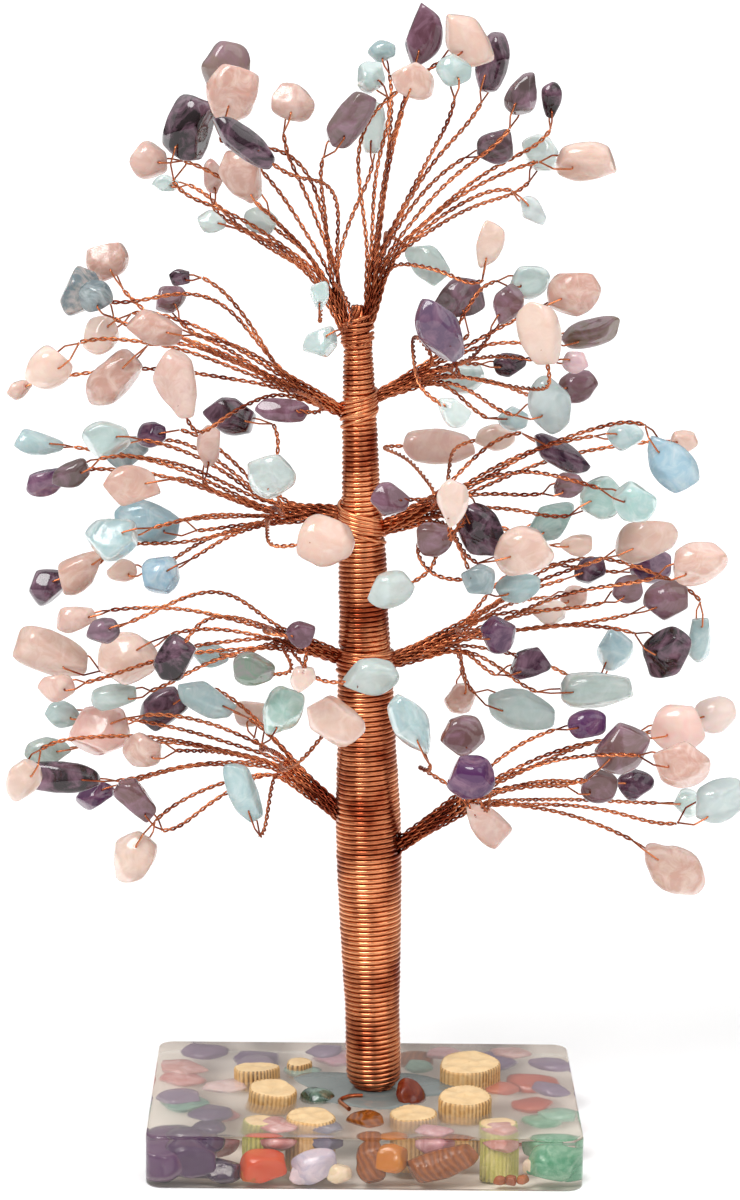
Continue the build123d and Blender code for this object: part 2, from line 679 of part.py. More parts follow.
def give_lanes(branch, leaves):
    # outermost leaves first, each takes the free lane nearest to its own direction
    free = list(range(len(branch["lanes"])))
    wants = []
    for leaf in leaves:
        way = leaf["knot"] - branch["fan"]
        far = np.linalg.norm(way)
        wants.append(np.array([way @ branch["side"], way @ branch["other"]]) / far)
    widest = max(np.linalg.norm(w) for w in wants)
    for k in sorted(range(len(leaves)), key=lambda i: -np.linalg.norm(wants[i])):
        goal = branch["fan"] + branch["spread"] / widest * (
            wants[k][0] * branch["side"] + wants[k][1] * branch["other"]
        )
        best = min(free, key=lambda i: np.linalg.norm(branch["lanes"][i] - goal))
        free.remove(best)
        leaves[k]["lane"] = branch["lanes"][best]


def routes_for(leaf, branch):
    # candidate routes: straight off the bundle, one bowed corner, then straight to the chip
    start = leaf["lane"]
    knot = leaf["knot"]
    last = knot - leaf["axes"][:, 2] * stem_end_run
    for start_share, middle_share in itertools.product(stem_start_shares, stem_middle_shares):
        first = start + branch["way"] * stem_start_run * start_share
        chord = last - first
        up = np.array([0, 0, 1])
        rise = unit(up - (up @ unit(chord)) * unit(chord)) if abs(unit(chord)[2]) < 0.97 else branch["side"]
        aside = np.cross(unit(chord), rise)
        middle = first + chord * middle_share
        for bow in stem_bow_shares:
            for k in range(stem_bow_sides):
                angle = (k + 1) // 2 * (1 if k % 2 else -1) * 2 * math.pi / stem_bow_sides
                off = math.cos(angle) * rise + math.sin(angle) * aside
                yield [start, first, middle + off * bow * np.linalg.norm(chord), last, knot]


def box_near(points, line, room):
    # which points come within the box of a line
    low, high = line.min(axis=0) - room, line.max(axis=0) + room
    return np.all((points > low) & (points < high), axis=1)


def route_room(points, leaf, leaves, wires, floor):
    # least room that a route keeps to chips and wires, as a share of what it needs,
    # given up early where it can't beat the best route so far
    own = branches[leaf["branch"]]
    wire_room = stem_room + stem_diameter / 2
    least = 9.0
    for other in branches.values():
        same = other is own
        swung = points if same else swing_sets(points, own, other)
        chips = [l for l in leaves if l["branch"] == other["name"] and l is not leaf]
        if chips:
            least = min(least, inside_chips(swung, chips, wire_room))
        if least <= floor:
            return least
        near = wires.get(other["name"], [])
        for line in near:
            mine = swung if same else swung[box_near(swung, line, stem_room + stem_diameter)]
            if len(mine):
                far = np.linalg.norm(mine[:, None, :] - line[None], axis=2)
                need = np.full(len(mine), stem_room + stem_diameter)
                if same:
                    # neighbours leave the bundle side by side
                    start = np.linalg.norm(mine - other["fan"], axis=1)
                    need = stem_diameter + np.clip(start / other["spread"] - 2, stem_near_share, 1) * stem_room
                least = min(least, float((far.min(axis=1) / need).min()))
            if least <= floor:
                return least
        tip = (swung - other["pivot"]) @ other["way"]
        reach = np.linalg.norm(other["fan"] - other["pivot"])
        off = np.linalg.norm(swung - other["pivot"] - tip[:, None] * other["way"], axis=1)
        in_bundle = (tip > 0) & (tip < reach - stem_diameter * same) & (off < other["spread"] + wire_room)
        if in_bundle.any():
            least = min(least, blocked_share)
    body = points[4:]
    for degrees in (-branch_swing, 0, branch_swing):
        if not trunk_clear(turned(body, own["pivot"], degrees), wire_room):
            least = min(least, blocked_share)
    return least


def route_leaves(leaves):
    wires = {}
    for name, branch in branches.items():
        mine = [l for l in leaves if l["branch"] == name]
        give_lanes(branch, mine)
        for leaf in sorted(mine, key=lambda l: np.linalg.norm(l["knot"] - branch["fan"])):
            best, best_room = None, -1
            for route in routes_for(leaf, branch):
                points = along_route(route)
                room = route_room(points, leaf, leaves, wires, best_room)
                if room > best_room:
                    best, best_room = route, room
                if room >= 1:
                    break
            if best_room < 1:
                print("tight route:", name, leaf["node"], np.round(leaf["centre"], 1), round(best_room, 2))
            leaf["route"] = best
            wires.setdefault(name, []).append(along_route(best))


# Solids

def arc_face(shares, size=1.0):
    points = [Vector(x * size, 0, z * size) for x, z in shares]
    edges = [Edge.make_three_point_arc(*points[i : i + 3]) for i in range(0, len(points) - 2, 2)]
    edges.append(Edge.make_line(points[-1], points[0]))
    return Face(Wire(edges))


def stone(outline, size=1.0):
    return revolve(arc_face(chip_outline_shares[outline], size), Axis.Z, 360)


unit_stones = {name: stone(name) for name in chip_outline_shares}


def chip_solid(leaf):
    wide, thick, long = (float(v) for v in leaf["size"])
    bore_outline = Ellipse(chip_bore_diameter / 2 / wide, chip_bore_diameter / 2 / long)
    bore_plane = Plane(origin=(0, 1, -chip_bore_share), x_dir=(1, 0, 0), z_dir=(0, -1, 0))
    bore = extrude(bore_plane * bore_outline, 2)
    body = scale(unit_stones[leaf["outline"]] - bore, by=(wide, thick, long))
    place = Plane(origin=vector(leaf["centre"]), x_dir=vector(leaf["axes"][:, 0]), z_dir=vector(leaf["axes"][:, 2]))
    return place.location * body


def leaf_wire_solid(leaf):
    route = leaf["route"]
    stem = tube(route, bend_radii(route), stem_diameter)
    corner = loop_bend
    loop = tube(loop_points(leaf), [corner] * 6, loop_wire_diameter)
    return stem + loop


def root_plane(branch):
    return Plane(origin=vector(branch["pivot"]), x_dir=vector(branch["side"]), z_dir=vector(branch["way"]))


def bundle_solid(branch):
    # a ball in the trunk, a straight neck and a trumpet that ends at the leaf wires
    reach = float(np.linalg.norm(branch["fan"] - branch["pivot"]))
    straight = reach * neck_length_share
    low = (Align.CENTER, Align.CENTER, Align.MIN)
    neck = Cylinder(branch["neck"], straight, align=low)
    trumpet = Pos(0, 0, straight) * Cone(branch["neck"], branch["spread"], reach - straight, align=low)
    return root_plane(branch).location * (neck + trumpet + Sphere(branch["ball"]))


def socket_solid(branch):
    # the ball's room and, for the neck, a mouth that widens with the swing
    low = (Align.CENTER, Align.CENTER, Align.MIN)
    inner = branch["neck"] + socket_clearance
    length = trunk_radius(0)
    outer = inner + length * math.tan(math.radians(branch_swing + swing_spare))
    return root_plane(branch).location * (Sphere(branch["socket"]) + Cone(inner, outer, length, align=low))


def trunk_solid():
    profile = [(0, -trunk_foot_depth)] + core_profile() + [(0, trunk_length)]
    face = Face(Wire.make_polygon([Vector(r, 0, h) for r, h in profile], close=True))
    place = Plane(origin=vector(foot), x_dir=vector(trunk_side), z_dir=vector(trunk_axis))
    core = place.location * Rot(0, 0, seam_turn) * revolve(face, Axis.Z, 360)
    for branch in branches.values():
        core = core - socket_solid(branch)
    return core


def biarc(start, start_way, end, end_way):
    # two tangent arcs between two points with given directions
    chord = end - start
    both = start_way + end_way
    curl = 2 * (1 - start_way @ end_way)
    reach = (-(chord @ both) + math.sqrt((chord @ both) ** 2 + curl * (chord @ chord))) / curl
    one = start + start_way * reach
    two = end - end_way * reach
    meet = (one + two) / 2
    return [
        Edge.make_tangent_arc(vector(start), vector(start_way), vector(meet)),
        Edge.make_tangent_arc(vector(meet), vector(unit(two - one)), vector(end)),
    ]


def wrap_solid(name):
    # one unbroken wire round the core, a half turn at a time, with straight ends
    low, high = wrap_span(name)
    turns = min(most_wrap_turns, int((high - low) / wrap_pitch))
    rise = (high - low) / turns

    def at(half):
        height = low + rise * half / 2
        radius = core_radius(height) + wrap_clearance + wrap_wire_diameter / 2
        return on_trunk(height, radius, math.pi * half)

    def way(half):
        small = 1 / 1000
        return unit(at(half + small) - at(half - small))

    halves = 2 * turns
    edges = [Edge.make_line(vector(at(0) - way(0) * wrap_wire_diameter), vector(at(0)))]
    for half in range(halves):
        edges += biarc(at(half), way(half), at(half + 1), way(half + 1))
    end = at(halves)
    edges.append(Edge.make_line(vector(end), vector(end + way(halves) * wrap_wire_diameter)))
    path = Wire(edges)
    section = Plane(origin=vector(at(0) - way(0) * wrap_wire_diameter), z_dir=vector(way(0)))
    solid = sweep(section * Circle(wrap_wire_diameter / 2), path)
    print(name, turns, "turns, least gap", round(wrap_gap(edges), 3))
    return solid


def wrap_gap(edges):
    # least gap between stretches of the wire that are more than a quarter turn apart
    points = np.array([list(edge @ t) for edge in edges for t in np.linspace(0, 0.9, 10)])
    far = np.linalg.norm(points[:, None] - points[None], axis=2)
    steps = np.abs(np.arange(len(points))[:, None] - np.arange(len(points))[None])
    return float(far[steps > 12].min()) - wrap_wire_diameter


def tail_solid():
    height = tail_rise + tail_diameter / 2
    radius = trunk_radius(height) + tail_diameter
    start = on_trunk(height, radius, -math.pi / 2) - trunk_side * tail_bend
    points = [
        start,
        start + np.array([-tail_bend, 0, 0]),
        start + np.array([-tail_bend - tail_sweep / 2, -tail_reach / 3, 0]),
        start + np.array([-tail_sweep / 2, -tail_reach, 0]),
    ]
    return tube(points, bend_radii(points), tail_diameter)


def round_disc(radius, half):
    rim = radius - half
    edges = [
        Edge.make_line(Vector(0, 0, -half), Vector(rim, 0, -half)),
        Edge.make_three_point_arc(Vector(rim, 0, -half), Vector(radius, 0, 0), Vector(rim, 0, half)),
        Edge.make_line(Vector(rim, 0, half), Vector(0, 0, half)),
        Edge.make_line(Vector(0, 0, half), Vector(0, 0, -half)),
    ]
    return revolve(Face(Wire(edges)), Axis.Z, 360)


def long_pebble(radius, half):
    low, high = half - radius, radius * math.sqrt(1 / 2)
    edges = [
        Edge.make_three_point_arc(Vector(0, 0, -half), Vector(high, 0, -low - high), Vector(radius, 0, -low)),
        Edge.make_line(Vector(radius, 0, -low), Vector(radius, 0, low)),
        Edge.make_three_point_arc(Vector(radius, 0, low), Vector(high, 0, low + high), Vector(0, 0, half)),
        Edge.make_line(Vector(0, 0, half), Vector(0, 0, -half)),
    ]
    return revolve(Face(Wire(edges)), Axis.Z, 360)


def stone_drum(radius, height):
    # a slice across a ribbed stone, standing on end, its edges worn
    body = Cylinder(radius, height)
    return fillet(body.edges().filter_by(GeomType.CIRCLE), drum_edge_radius)


def slab_stone(row):
    node, x, y, z, size, outline, lean, turn = row
    across = size * slab_height
    if outline == "drum":
        body = stone_drum(across / 2, drum_height_share * slab_height)
    elif outline == "flat":
        body = round_disc(across / 2, across * flat_half_share)
    else:
        body = long_pebble(across * pebble_radius_shares[outline], across / 2)
    place = Pos(x * slab_width / 2, y * slab_depth / 2, z * slab_height)
    return node, place * Rot(0, 0, turn) * Rot(lean, 0, 0) * body


def slab_solid(stones, core):
    body = Box(slab_width, slab_depth, slab_height, align=(Align.CENTER, Align.CENTER, Align.MIN))
    body = fillet(body.edges().filter_by(Axis.Z), slab_corner_radius)
    body = fillet(body.faces().sort_by(Axis.Z)[-1].edges(), slab_edge_radius)
    for piece in stones:
        body = body - piece
    return body - core


def write(shapes, node):
    solids = [s for shape in shapes for s in shape.solids()]
    export_step(solids[0] if len(solids) == 1 else Compound(children=solids), f"parts/{node}.step")


def main():
    os.makedirs("parts", exist_ok=True)
    nodes = {}

    def add(node, shape):
        nodes.setdefault(node, []).append(shape)

    leaves = place_leaves()
    route_leaves(leaves)
    core = trunk_solid()
    stones = [slab_stone(row) for row in cast_stone_shares + proud_stone_shares]
    add("resin_slab", slab_solid([s for node, s in stones], core))
    for node, shape in stones:
        add(node, shape)
    add("trunk_core", core)
    for name in wrap_row_pixels:
        add(name, wrap_solid(name))
    add("foot_wire_tail", tail_solid())
    for name, branch in branches.items():
        add(f"{name}_wires", bundle_solid(branch))
    for leaf in leaves:
        add(f"{leaf['branch']}_wires", leaf_wire_solid(leaf))
        lone = leaf["node"].startswith("lone")
        add(leaf["node"] if lone else f"{leaf['branch']}_{leaf['node']}", chip_solid(leaf))
    for node, shapes in nodes.items():
        write(shapes, node)
    print(len(nodes), "nodes,", len(leaves), "leaves")


main()
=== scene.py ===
import bmesh
import bpy
import json
import math
import numpy as np
import random
from mathutils import Matrix, Vector, noise
from mathutils.bvhtree import BVHTree


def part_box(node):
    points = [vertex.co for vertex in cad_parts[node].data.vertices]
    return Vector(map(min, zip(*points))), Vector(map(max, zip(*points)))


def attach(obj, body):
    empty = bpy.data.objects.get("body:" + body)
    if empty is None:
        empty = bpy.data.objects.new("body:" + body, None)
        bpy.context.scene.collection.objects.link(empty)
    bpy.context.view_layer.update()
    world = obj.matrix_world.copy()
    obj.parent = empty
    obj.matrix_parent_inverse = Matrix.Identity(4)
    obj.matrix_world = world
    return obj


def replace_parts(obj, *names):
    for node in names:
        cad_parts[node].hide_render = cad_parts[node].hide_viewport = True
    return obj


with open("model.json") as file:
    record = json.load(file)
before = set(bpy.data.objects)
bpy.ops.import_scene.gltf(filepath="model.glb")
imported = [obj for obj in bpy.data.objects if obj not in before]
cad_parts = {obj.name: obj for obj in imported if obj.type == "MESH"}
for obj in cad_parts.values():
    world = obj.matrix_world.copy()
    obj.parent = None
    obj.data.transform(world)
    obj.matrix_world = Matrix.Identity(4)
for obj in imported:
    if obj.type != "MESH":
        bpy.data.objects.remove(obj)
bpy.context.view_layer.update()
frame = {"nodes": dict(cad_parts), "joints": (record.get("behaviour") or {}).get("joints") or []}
scene = bpy.context.scene
mm = 0.001
print("frame loaded")


def toLinear(hexText):
    # screen colour to the linear values that shaders take
    parts = [int(hexText[i : i + 2], 16) / 255 for i in (1, 3, 5)]
    return tuple(p / 12.92 if p <= 0.04045 else ((p + 0.055) / 1.055) ** 2.4 for p in parts) + (1.0,)


# camera, as the photograph was taken: millimetres, degrees and pixels of a 740 x 1200 frame
photo = {
    "place": (-8.4, -807, 282.5), "down": 11.31, "turn": 0.60, "roll": 0.68,
    "focal": 3842, "wide": 740, "high": 1200,
}


def photoAxes():
    down, turn, roll = (math.radians(photo[k]) for k in ("down", "turn", "roll"))
    ahead = Vector((math.sin(turn) * math.cos(down), math.cos(turn) * math.cos(down), -math.sin(down)))
    right = Vector((math.cos(turn), -math.sin(turn), 0))
    up = right.cross(ahead)
    level = right * math.cos(roll) + up * math.sin(roll)
    return level, up * math.cos(roll) - right * math.sin(roll), ahead


def photoPixel(point):
    # where a point in the frame falls in the photograph
    right, up, ahead = photoAxes()
    off = Vector(point) - Vector(photo["place"]) * mm
    scale = photo["focal"] / off.dot(ahead)
    return photo["wide"] / 2 + off.dot(right) * scale, photo["high"] / 2 - off.dot(up) * scale


def addCamera():
    right, up, ahead = photoAxes()
    lens = bpy.data.cameras.new("photoCamera")
    lens.sensor_fit = "VERTICAL"
    lens.sensor_height = 24
    lens.lens = photo["focal"] / photo["high"] * lens.sensor_height
    lens.clip_end = 60
    obj = bpy.data.objects.new("photoCamera", lens)
    turn = Matrix((right, up, -ahead)).transposed().to_4x4()
    obj.matrix_world = Matrix.Translation(Vector(photo["place"]) * mm) @ turn
    scene.collection.objects.link(obj)
    scene.camera = obj


addCamera()
print("camera placed")


# materials

def addNode(material, kind, settings=None, links=()):
    # a node with its settings, and its links as (source, output, own input)
    tree = material.node_tree
    node = tree.nodes.new(kind)
    for name, value in (settings or {}).items():
        if name in node.inputs.keys():
            node.inputs[name].default_value = value
        else:
            setattr(node, name, value)
    for source, output, own in links:
        tree.links.new(source.outputs[output], node.inputs[own])
    return node


def newMaterial(name, shader):
    material = bpy.data.materials.new(name)
    material.use_nodes = True
    body = material.node_tree.nodes["Principled BSDF"]
    for key, value in shader.items():
        body.inputs[key].default_value = value
    return material, body


def link(material, source, output, target, own):
    material.node_tree.links.new(source.outputs[output], target.inputs[own])


def perMetre(size):
    # texture scale for features of a size in millimetres
    return 1 / (size * mm)


def copperWire(name, dullTone, brightTone):
    # bare drawn copper wire: orange-red mirror streaks, browner where handling has dulled it
    material, body = newMaterial(name, {"Metallic": 1.0, "Roughness": 0.24})
    place = addNode(material, "ShaderNodeTexCoord")
    here = [(place, "Object", "Vector")]
    dull = addNode(material, "ShaderNodeTexNoise", {"Scale": perMetre(9), "Detail": 4.0}, here)
    tone = addNode(material, "ShaderNodeValToRGB", links=[(dull, "Fac", "Fac")])
    tone.color_ramp.elements[0].position = 0.35
    tone.color_ramp.elements[0].color = toLinear(dullTone)
    tone.color_ramp.elements[1].position = 0.62
    tone.color_ramp.elements[1].color = toLinear(brightTone)
    link(material, tone, "Color", body, "Base Color")
    fine = addNode(material, "ShaderNodeTexNoise", {"Scale": perMetre(0.8), "Detail": 3.0}, here)
    rough = addNode(material, "ShaderNodeMapRange", {"To Min": 0.14, "To Max": 0.3}, [(fine, "Fac", "Value")])
    link(material, rough, "Result", body, "Roughness")
    return material


def copperCorePaintedShade():
    # copper wires packed under the winding: same metal, but coloured near black as painted shade, seen only as
    # dark lines between turns
    material, body = newMaterial("packedCopperWirePaintedShade", {"Metallic": 1.0, "Roughness": 0.5})
    place = addNode(material, "ShaderNodeTexCoord")
    here = [(place, "Object", "Vector")]
    streak = addNode(material, "ShaderNodeTexNoise", {"Scale": perMetre(2), "Detail": 3.0}, here)
    tone = addNode(material, "ShaderNodeValToRGB", links=[(streak, "Fac", "Fac")])
    # near-black browns: painted shade between the turns of the winding
    tone.color_ramp.elements[0].color = toLinear("#2E130A")
    tone.color_ramp.elements[1].color = toLinear("#6A3420")
    link(material, tone, "Color", body, "Base Color")
    return material


def tumbledStone(name, shader, veil, veilSize, veilShare, rough):
    # each chip's own tone, clouded by veils of tiny bubbles and healed cracks
    material, body = newMaterial(name, shader)
    place = addNode(material, "ShaderNodeTexCoord")
    here = [(place, "Object", "Vector")]
    own = addNode(material, "ShaderNodeAttribute", {"attribute_name": "tone"})
    cloud = addNode(
        material, "ShaderNodeTexNoise",
        {"Scale": perMetre(veilSize), "Detail": 6.0, "Roughness": 0.62, "Distortion": 1.2}, here,
    )
    share = addNode(
        material, "ShaderNodeMapRange",
        {"From Min": 0.42, "From Max": 0.72, "To Min": 0.0, "To Max": veilShare}, [(cloud, "Fac", "Value")],
    )
    mix = addNode(material, "ShaderNodeMix", {"data_type": "RGBA"})
    mix.inputs[7].default_value = toLinear(veil)
    link(material, share, "Result", mix, 0)
    link(material, own, "Color", mix, 6)
    link(material, mix, 2, body, "Base Color")
    polish = addNode(material, "ShaderNodeTexNoise", {"Scale": perMetre(3), "Detail": 4.0}, here)
    gloss = addNode(
        material, "ShaderNodeMapRange",
        {"To Min": rough[0], "To Max": rough[1]}, [(polish, "Fac", "Value")],
    )
    link(material, gloss, "Result", body, "Roughness")
    pits = addNode(material, "ShaderNodeTexNoise", {"Scale": perMetre(1.6), "Detail": 3.0}, here)
    bump = addNode(
        material, "ShaderNodeBump",
        {"Strength": 0.12, "Distance": 0.2 * mm}, [(pits, "Fac", "Height")],
    )
    link(material, bump, "Normal", body, "Normal")
    return material


def bandedStone(name, shader, low, high, bandSize, turn, rough):
    # bands of two colours through the stone, wavy as they grew
    material, body = newMaterial(name, shader)
    place = addNode(material, "ShaderNodeTexCoord")
    here = [(place, "Object", "Vector")]
    lie = addNode(material, "ShaderNodeMapping", {"Rotation": turn}, here)
    bands = addNode(
        material, "ShaderNodeTexWave",
        {"Scale": perMetre(bandSize) / 6.28, "Distortion": 3.0, "Detail": 3.0, "Detail Scale": 1.5},
        [(lie, "Vector", "Vector")],
    )
    tone = addNode(material, "ShaderNodeValToRGB", links=[(bands, "Fac", "Fac")])
    tone.color_ramp.elements[0].color = toLinear(low)
    tone.color_ramp.elements[1].color = toLinear(high)
    link(material, tone, "Color", body, "Base Color")
    body.inputs["Roughness"].default_value = rough
    bump = addNode(
        material, "ShaderNodeBump",
        {"Strength": 0.3, "Distance": 0.25 * mm}, [(bands, "Fac", "Height")],
    )
    link(material, bump, "Normal", body, "Normal")
    return material


resinBend = 1.54  # refraction of set polyester resin


def castResin(name, clear, rough):
    # clear polyester resin cast in a tray: water-clear with a faint warm cast, skin not quite level
    look = {"Transmission Weight": clear, "IOR": resinBend, "Base Color": toLinear("#F6EFE6")}
    material, body = newMaterial(name, look)
    place = addNode(material, "ShaderNodeTexCoord")
    here = [(place, "Object", "Vector")]
    swell = addNode(material, "ShaderNodeTexNoise", {"Scale": perMetre(14), "Detail": 2.0}, here)
    bump = addNode(
        material, "ShaderNodeBump",
        {"Strength": 0.25, "Distance": 0.5 * mm}, [(swell, "Fac", "Height")],
    )
    link(material, bump, "Normal", body, "Normal")
    smear = addNode(material, "ShaderNodeTexNoise", {"Scale": perMetre(8), "Detail": 4.0}, here)
    gloss = addNode(
        material, "ShaderNodeMapRange",
        {"To Min": rough[0], "To Max": rough[1]}, [(smear, "Fac", "Value")],
    )
    link(material, gloss, "Result", body, "Roughness")
    return material


def undersideResin():
    # the side of the casting that was open to the air: set matt and pale, so the slab looks light from above
    material, body = newMaterial("openPouredResin", {"IOR": resinBend, "Roughness": 0.7})
    place = addNode(material, "ShaderNodeTexCoord")
    here = [(place, "Object", "Vector")]
    patch = addNode(material, "ShaderNodeTexNoise", {"Scale": perMetre(12), "Detail": 4.0}, here)
    tone = addNode(material, "ShaderNodeValToRGB", links=[(patch, "Fac", "Fac")])
    tone.color_ramp.elements[0].color = toLinear("#D8CCC0")
    tone.color_ramp.elements[1].color = toLinear("#F4EEE6")
    link(material, tone, "Color", body, "Base Color")
    return material


def clearPool():
    # clear resin poured round the foot last: thin and wet, coloured dark grey-green
    look = {"Transmission Weight": 0.35, "IOR": resinBend, "Base Color": toLinear("#7C8685"), "Roughness": 0.06}
    material, body = newMaterial("pouredResinPool", look)
    place = addNode(material, "ShaderNodeTexCoord")
    here = [(place, "Object", "Vector")]
    swell = addNode(material, "ShaderNodeTexNoise", {"Scale": perMetre(5), "Detail": 2.0}, here)
    bump = addNode(
        material, "ShaderNodeBump",
        {"Strength": 0.3, "Distance": 0.4 * mm}, [(swell, "Fac", "Height")],
    )
    link(material, bump, "Normal", body, "Normal")
    return material


materials = {
    "copper": copperWire("drawnCopperWire", "#98472A", "#E89A6C"),
    "twisted": copperWire("twistedCopperWire", "#7A3420", "#D07E54"),  # darker and browner than the drawn wire
    # core: near-black painted shade between the winding's turns
    "core": copperCorePaintedShade(),
    "rose": tumbledStone(
        "roseQuartzTumbled",  # milky pink, light soaks in and glows at the thin rims
        {"IOR": 1.544, "Transmission Weight": 0.18, "Subsurface Weight": 0.35, "Subsurface Scale": 0.0025},
        "#EBD8CC", 4, 0.7, (0.08, 0.2),
    ),
    "dark": tumbledStone(
        "amethystTumbled",  # glassy purple to smoky brown, deep where thick
        {"IOR": 1.544, "Transmission Weight": 0.12},
        "#9A7488", 5, 0.75, (0.03, 0.1),
    ),
    "aqua": tumbledStone(
        "aquamarineTumbled",  # pale blue-green glass with white veils
        {"IOR": 1.577, "Transmission Weight": 0.32, "Subsurface Weight": 0.15, "Subsurface Scale": 0.002},
        "#E3ECEA", 4, 0.6, (0.06, 0.18),
    ),
    "resin": castResin("castResin", 1.0, (0.02, 0.06)),
    "resinTop": castResin("castResinHazyTop", 0.92, (0.18, 0.28)),  # hazy, stones blur through it
    "carnelian": tumbledStone(
        "carnelianTumbled",  # waxy orange to deep red, cloudy
        {"IOR": 1.54, "Subsurface Weight": 0.1, "Subsurface Scale": 0.002}, "#B85C24", 5, 0.35, (0.12, 0.25),
    ),
    "tigerEye": bandedStone("tigerEyeTumbled", {"IOR": 1.54}, "#6E360A", "#8A4A10", 0.7, (0.9, 0.2, 0.6), 0.18),
    "aventurine": tumbledStone(
        "greenAventurineTumbled",  # cloudy green with paler flecks
        {"IOR": 1.55, "Transmission Weight": 0.1}, "#A9CDB5", 4, 0.5, (0.1, 0.25),
    ),
    "castRose": tumbledStone(
        "roseQuartzCast",  # milky pink to lilac white
        {"IOR": 1.544, "Subsurface Weight": 0.2, "Subsurface Scale": 0.002}, "#EBD5D3", 5, 0.5, (0.15, 0.3),
    ),
    "castAmethyst": tumbledStone(
        "amethystCast",  # deep purple rough pieces, lilac where thin
        {"IOR": 1.544, "Transmission Weight": 0.1}, "#5A4262", 5, 0.4, (0.1, 0.25),
    ),
    "ribbed": tumbledStone(
        "ribbedFossilShell",  # chalky cream ridges with brown between them, tops sawn flat
        {"IOR": 1.53}, "#F0DDB4", 2.5, 0.35, (0.35, 0.6),
    ),
    "pool": clearPool(),
    "underside": undersideResin(),
}
print("materials made")


# reading the frame

def solidsOf(node):
    # the node's corners welded to a micron, its triangles, and which solid each corner belongs to
    mesh = frame["nodes"][node].data
    corners = np.empty(len(mesh.vertices) * 3)
    mesh.vertices.foreach_get("co", corners)
    corners = corners.reshape(-1, 3)
    mesh.calc_loop_triangles()
    faces = np.empty(len(mesh.loop_triangles) * 3, dtype=np.int64)
    mesh.loop_triangles.foreach_get("vertices", faces)
    microns = np.round(corners * 1e6).astype(np.int64)
    first, back = np.unique(microns, axis=0, return_index=True, return_inverse=True)[1:]
    points = corners[first]
    faces = back.reshape(-1)[faces].reshape(-1, 3)
    label = np.arange(len(points))
    while True:
        low = label.copy()
        np.minimum.at(low, faces.ravel(), np.repeat(label[faces].min(axis=1), 3))
        low = low[low]
        if np.array_equal(low, label):
            break
        label = low
    solid = np.unique(label, return_inverse=True)[1]
    return points, faces, solid.reshape(-1)


def piecesOf(node):
    # each of the node's solids as its own corners and triangles
    points, faces, solid = solidsOf(node)
    parts = []
    for k in np.unique(solid):
        own = solid == k
        renumber = np.cumsum(own) - 1
        parts.append((points[own], renumber[faces[own[faces[:, 0]]]]))
    return parts


def edgesOf(faces):
    pairs = np.vstack([faces[:, (0, 1)], faces[:, (1, 2)], faces[:, (2, 0)]])
    return np.unique(np.sort(pairs, axis=1), axis=0)


def newObject(name, bag, material, body, nodes=()):
    mesh = bpy.data.meshes.new(name)
    faces = [tuple(f) for part in bag["faces"] for f in part]
    mesh.from_pydata(np.vstack(bag["points"]).tolist(), [], faces)
    mesh.validate()
    mesh.shade_smooth()
    mesh.materials.append(material)
    if "tone" in bag:
        layer = mesh.color_attributes.new("tone", "FLOAT_COLOR", "POINT")
        layer.data.foreach_set("color", np.vstack(bag["tone"]).ravel())
    obj = bpy.data.objects.new(name, mesh)
    scene.collection.objects.link(obj)
    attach(obj, body)
    if nodes:
        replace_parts(obj, *nodes)
    return obj


def addPart(bag, points, faces, tone=None):
    start = sum(len(p) for p in bag["points"])
    bag["points"].append(np.asarray(points))
    bag["faces"].append((np.asarray(faces) + start).tolist())
    if tone is not None:
        bag.setdefault("tone", []).append(np.broadcast_to(tone, (len(points), 4)))


def emptyBag():
    return {"points": [], "faces": []}


def unit(v):
    return v / np.linalg.norm(v, axis=-1, keepdims=True)


def carried(path):
    # two directions square to the path, carried along it without spinning
    ways = unit(np.gradient(path, axis=0))
    side = np.cross(ways[0], (0, 0, 1) if abs(ways[0][2]) < 0.9 else (1, 0, 0))
    sides = []
    for way in ways:
        side = side - (side @ way) * way
        side = side / np.linalg.norm(side)
        sides.append(side)
    sides = np.array(sides)
    return sides, np.cross(ways, sides)


def addTube(bag, path, radius, sides=6):
    # a round wire along a path, closed at both ends
    one, two = carried(path)
    turn = np.arange(sides) * 2 * math.pi / sides
    radius = np.broadcast_to(radius, len(path))
    ring = np.cos(turn)[None, :, None] * one[:, None] + np.sin(turn)[None, :, None] * two[:, None]
    points = (path[:, None] + ring * radius[:, None, None]).reshape(-1, 3)
    count = len(path)
    faces = []
    for i in range(count - 1):
        for k in range(sides):
            a, b = i * sides + k, i * sides + (k + 1) % sides
            faces.append((a, b, b + sides, a + sides))
    start = sum(len(p) for p in bag["points"])
    bag["points"].append(points)
    ends = [tuple(range(sides))[::-1], tuple(range((count - 1) * sides, count * sides))]
    bag["faces"].append([tuple(v + start for v in f) for f in faces + ends])


def resample(path, step):
    run = np.concatenate([[0], np.cumsum(np.linalg.norm(np.diff(path, axis=0), axis=1))])
    count = max(2, int(run[-1] / step) + 1)
    at = np.linspace(0, run[-1], count)
    return np.column_stack([np.interp(at, run, path[:, k]) for k in range(3)]), at


# wires

# millimetres, radians; bend is the length over which the drawn wire rounds a corner
wire = {
    "strand": 0.235, "lay": 0.285, "twist": 4.4, "bundleTurn": 1.3, "bend": 3.6,
    "readStep": 0.3, "drawStep": 0.45,
}


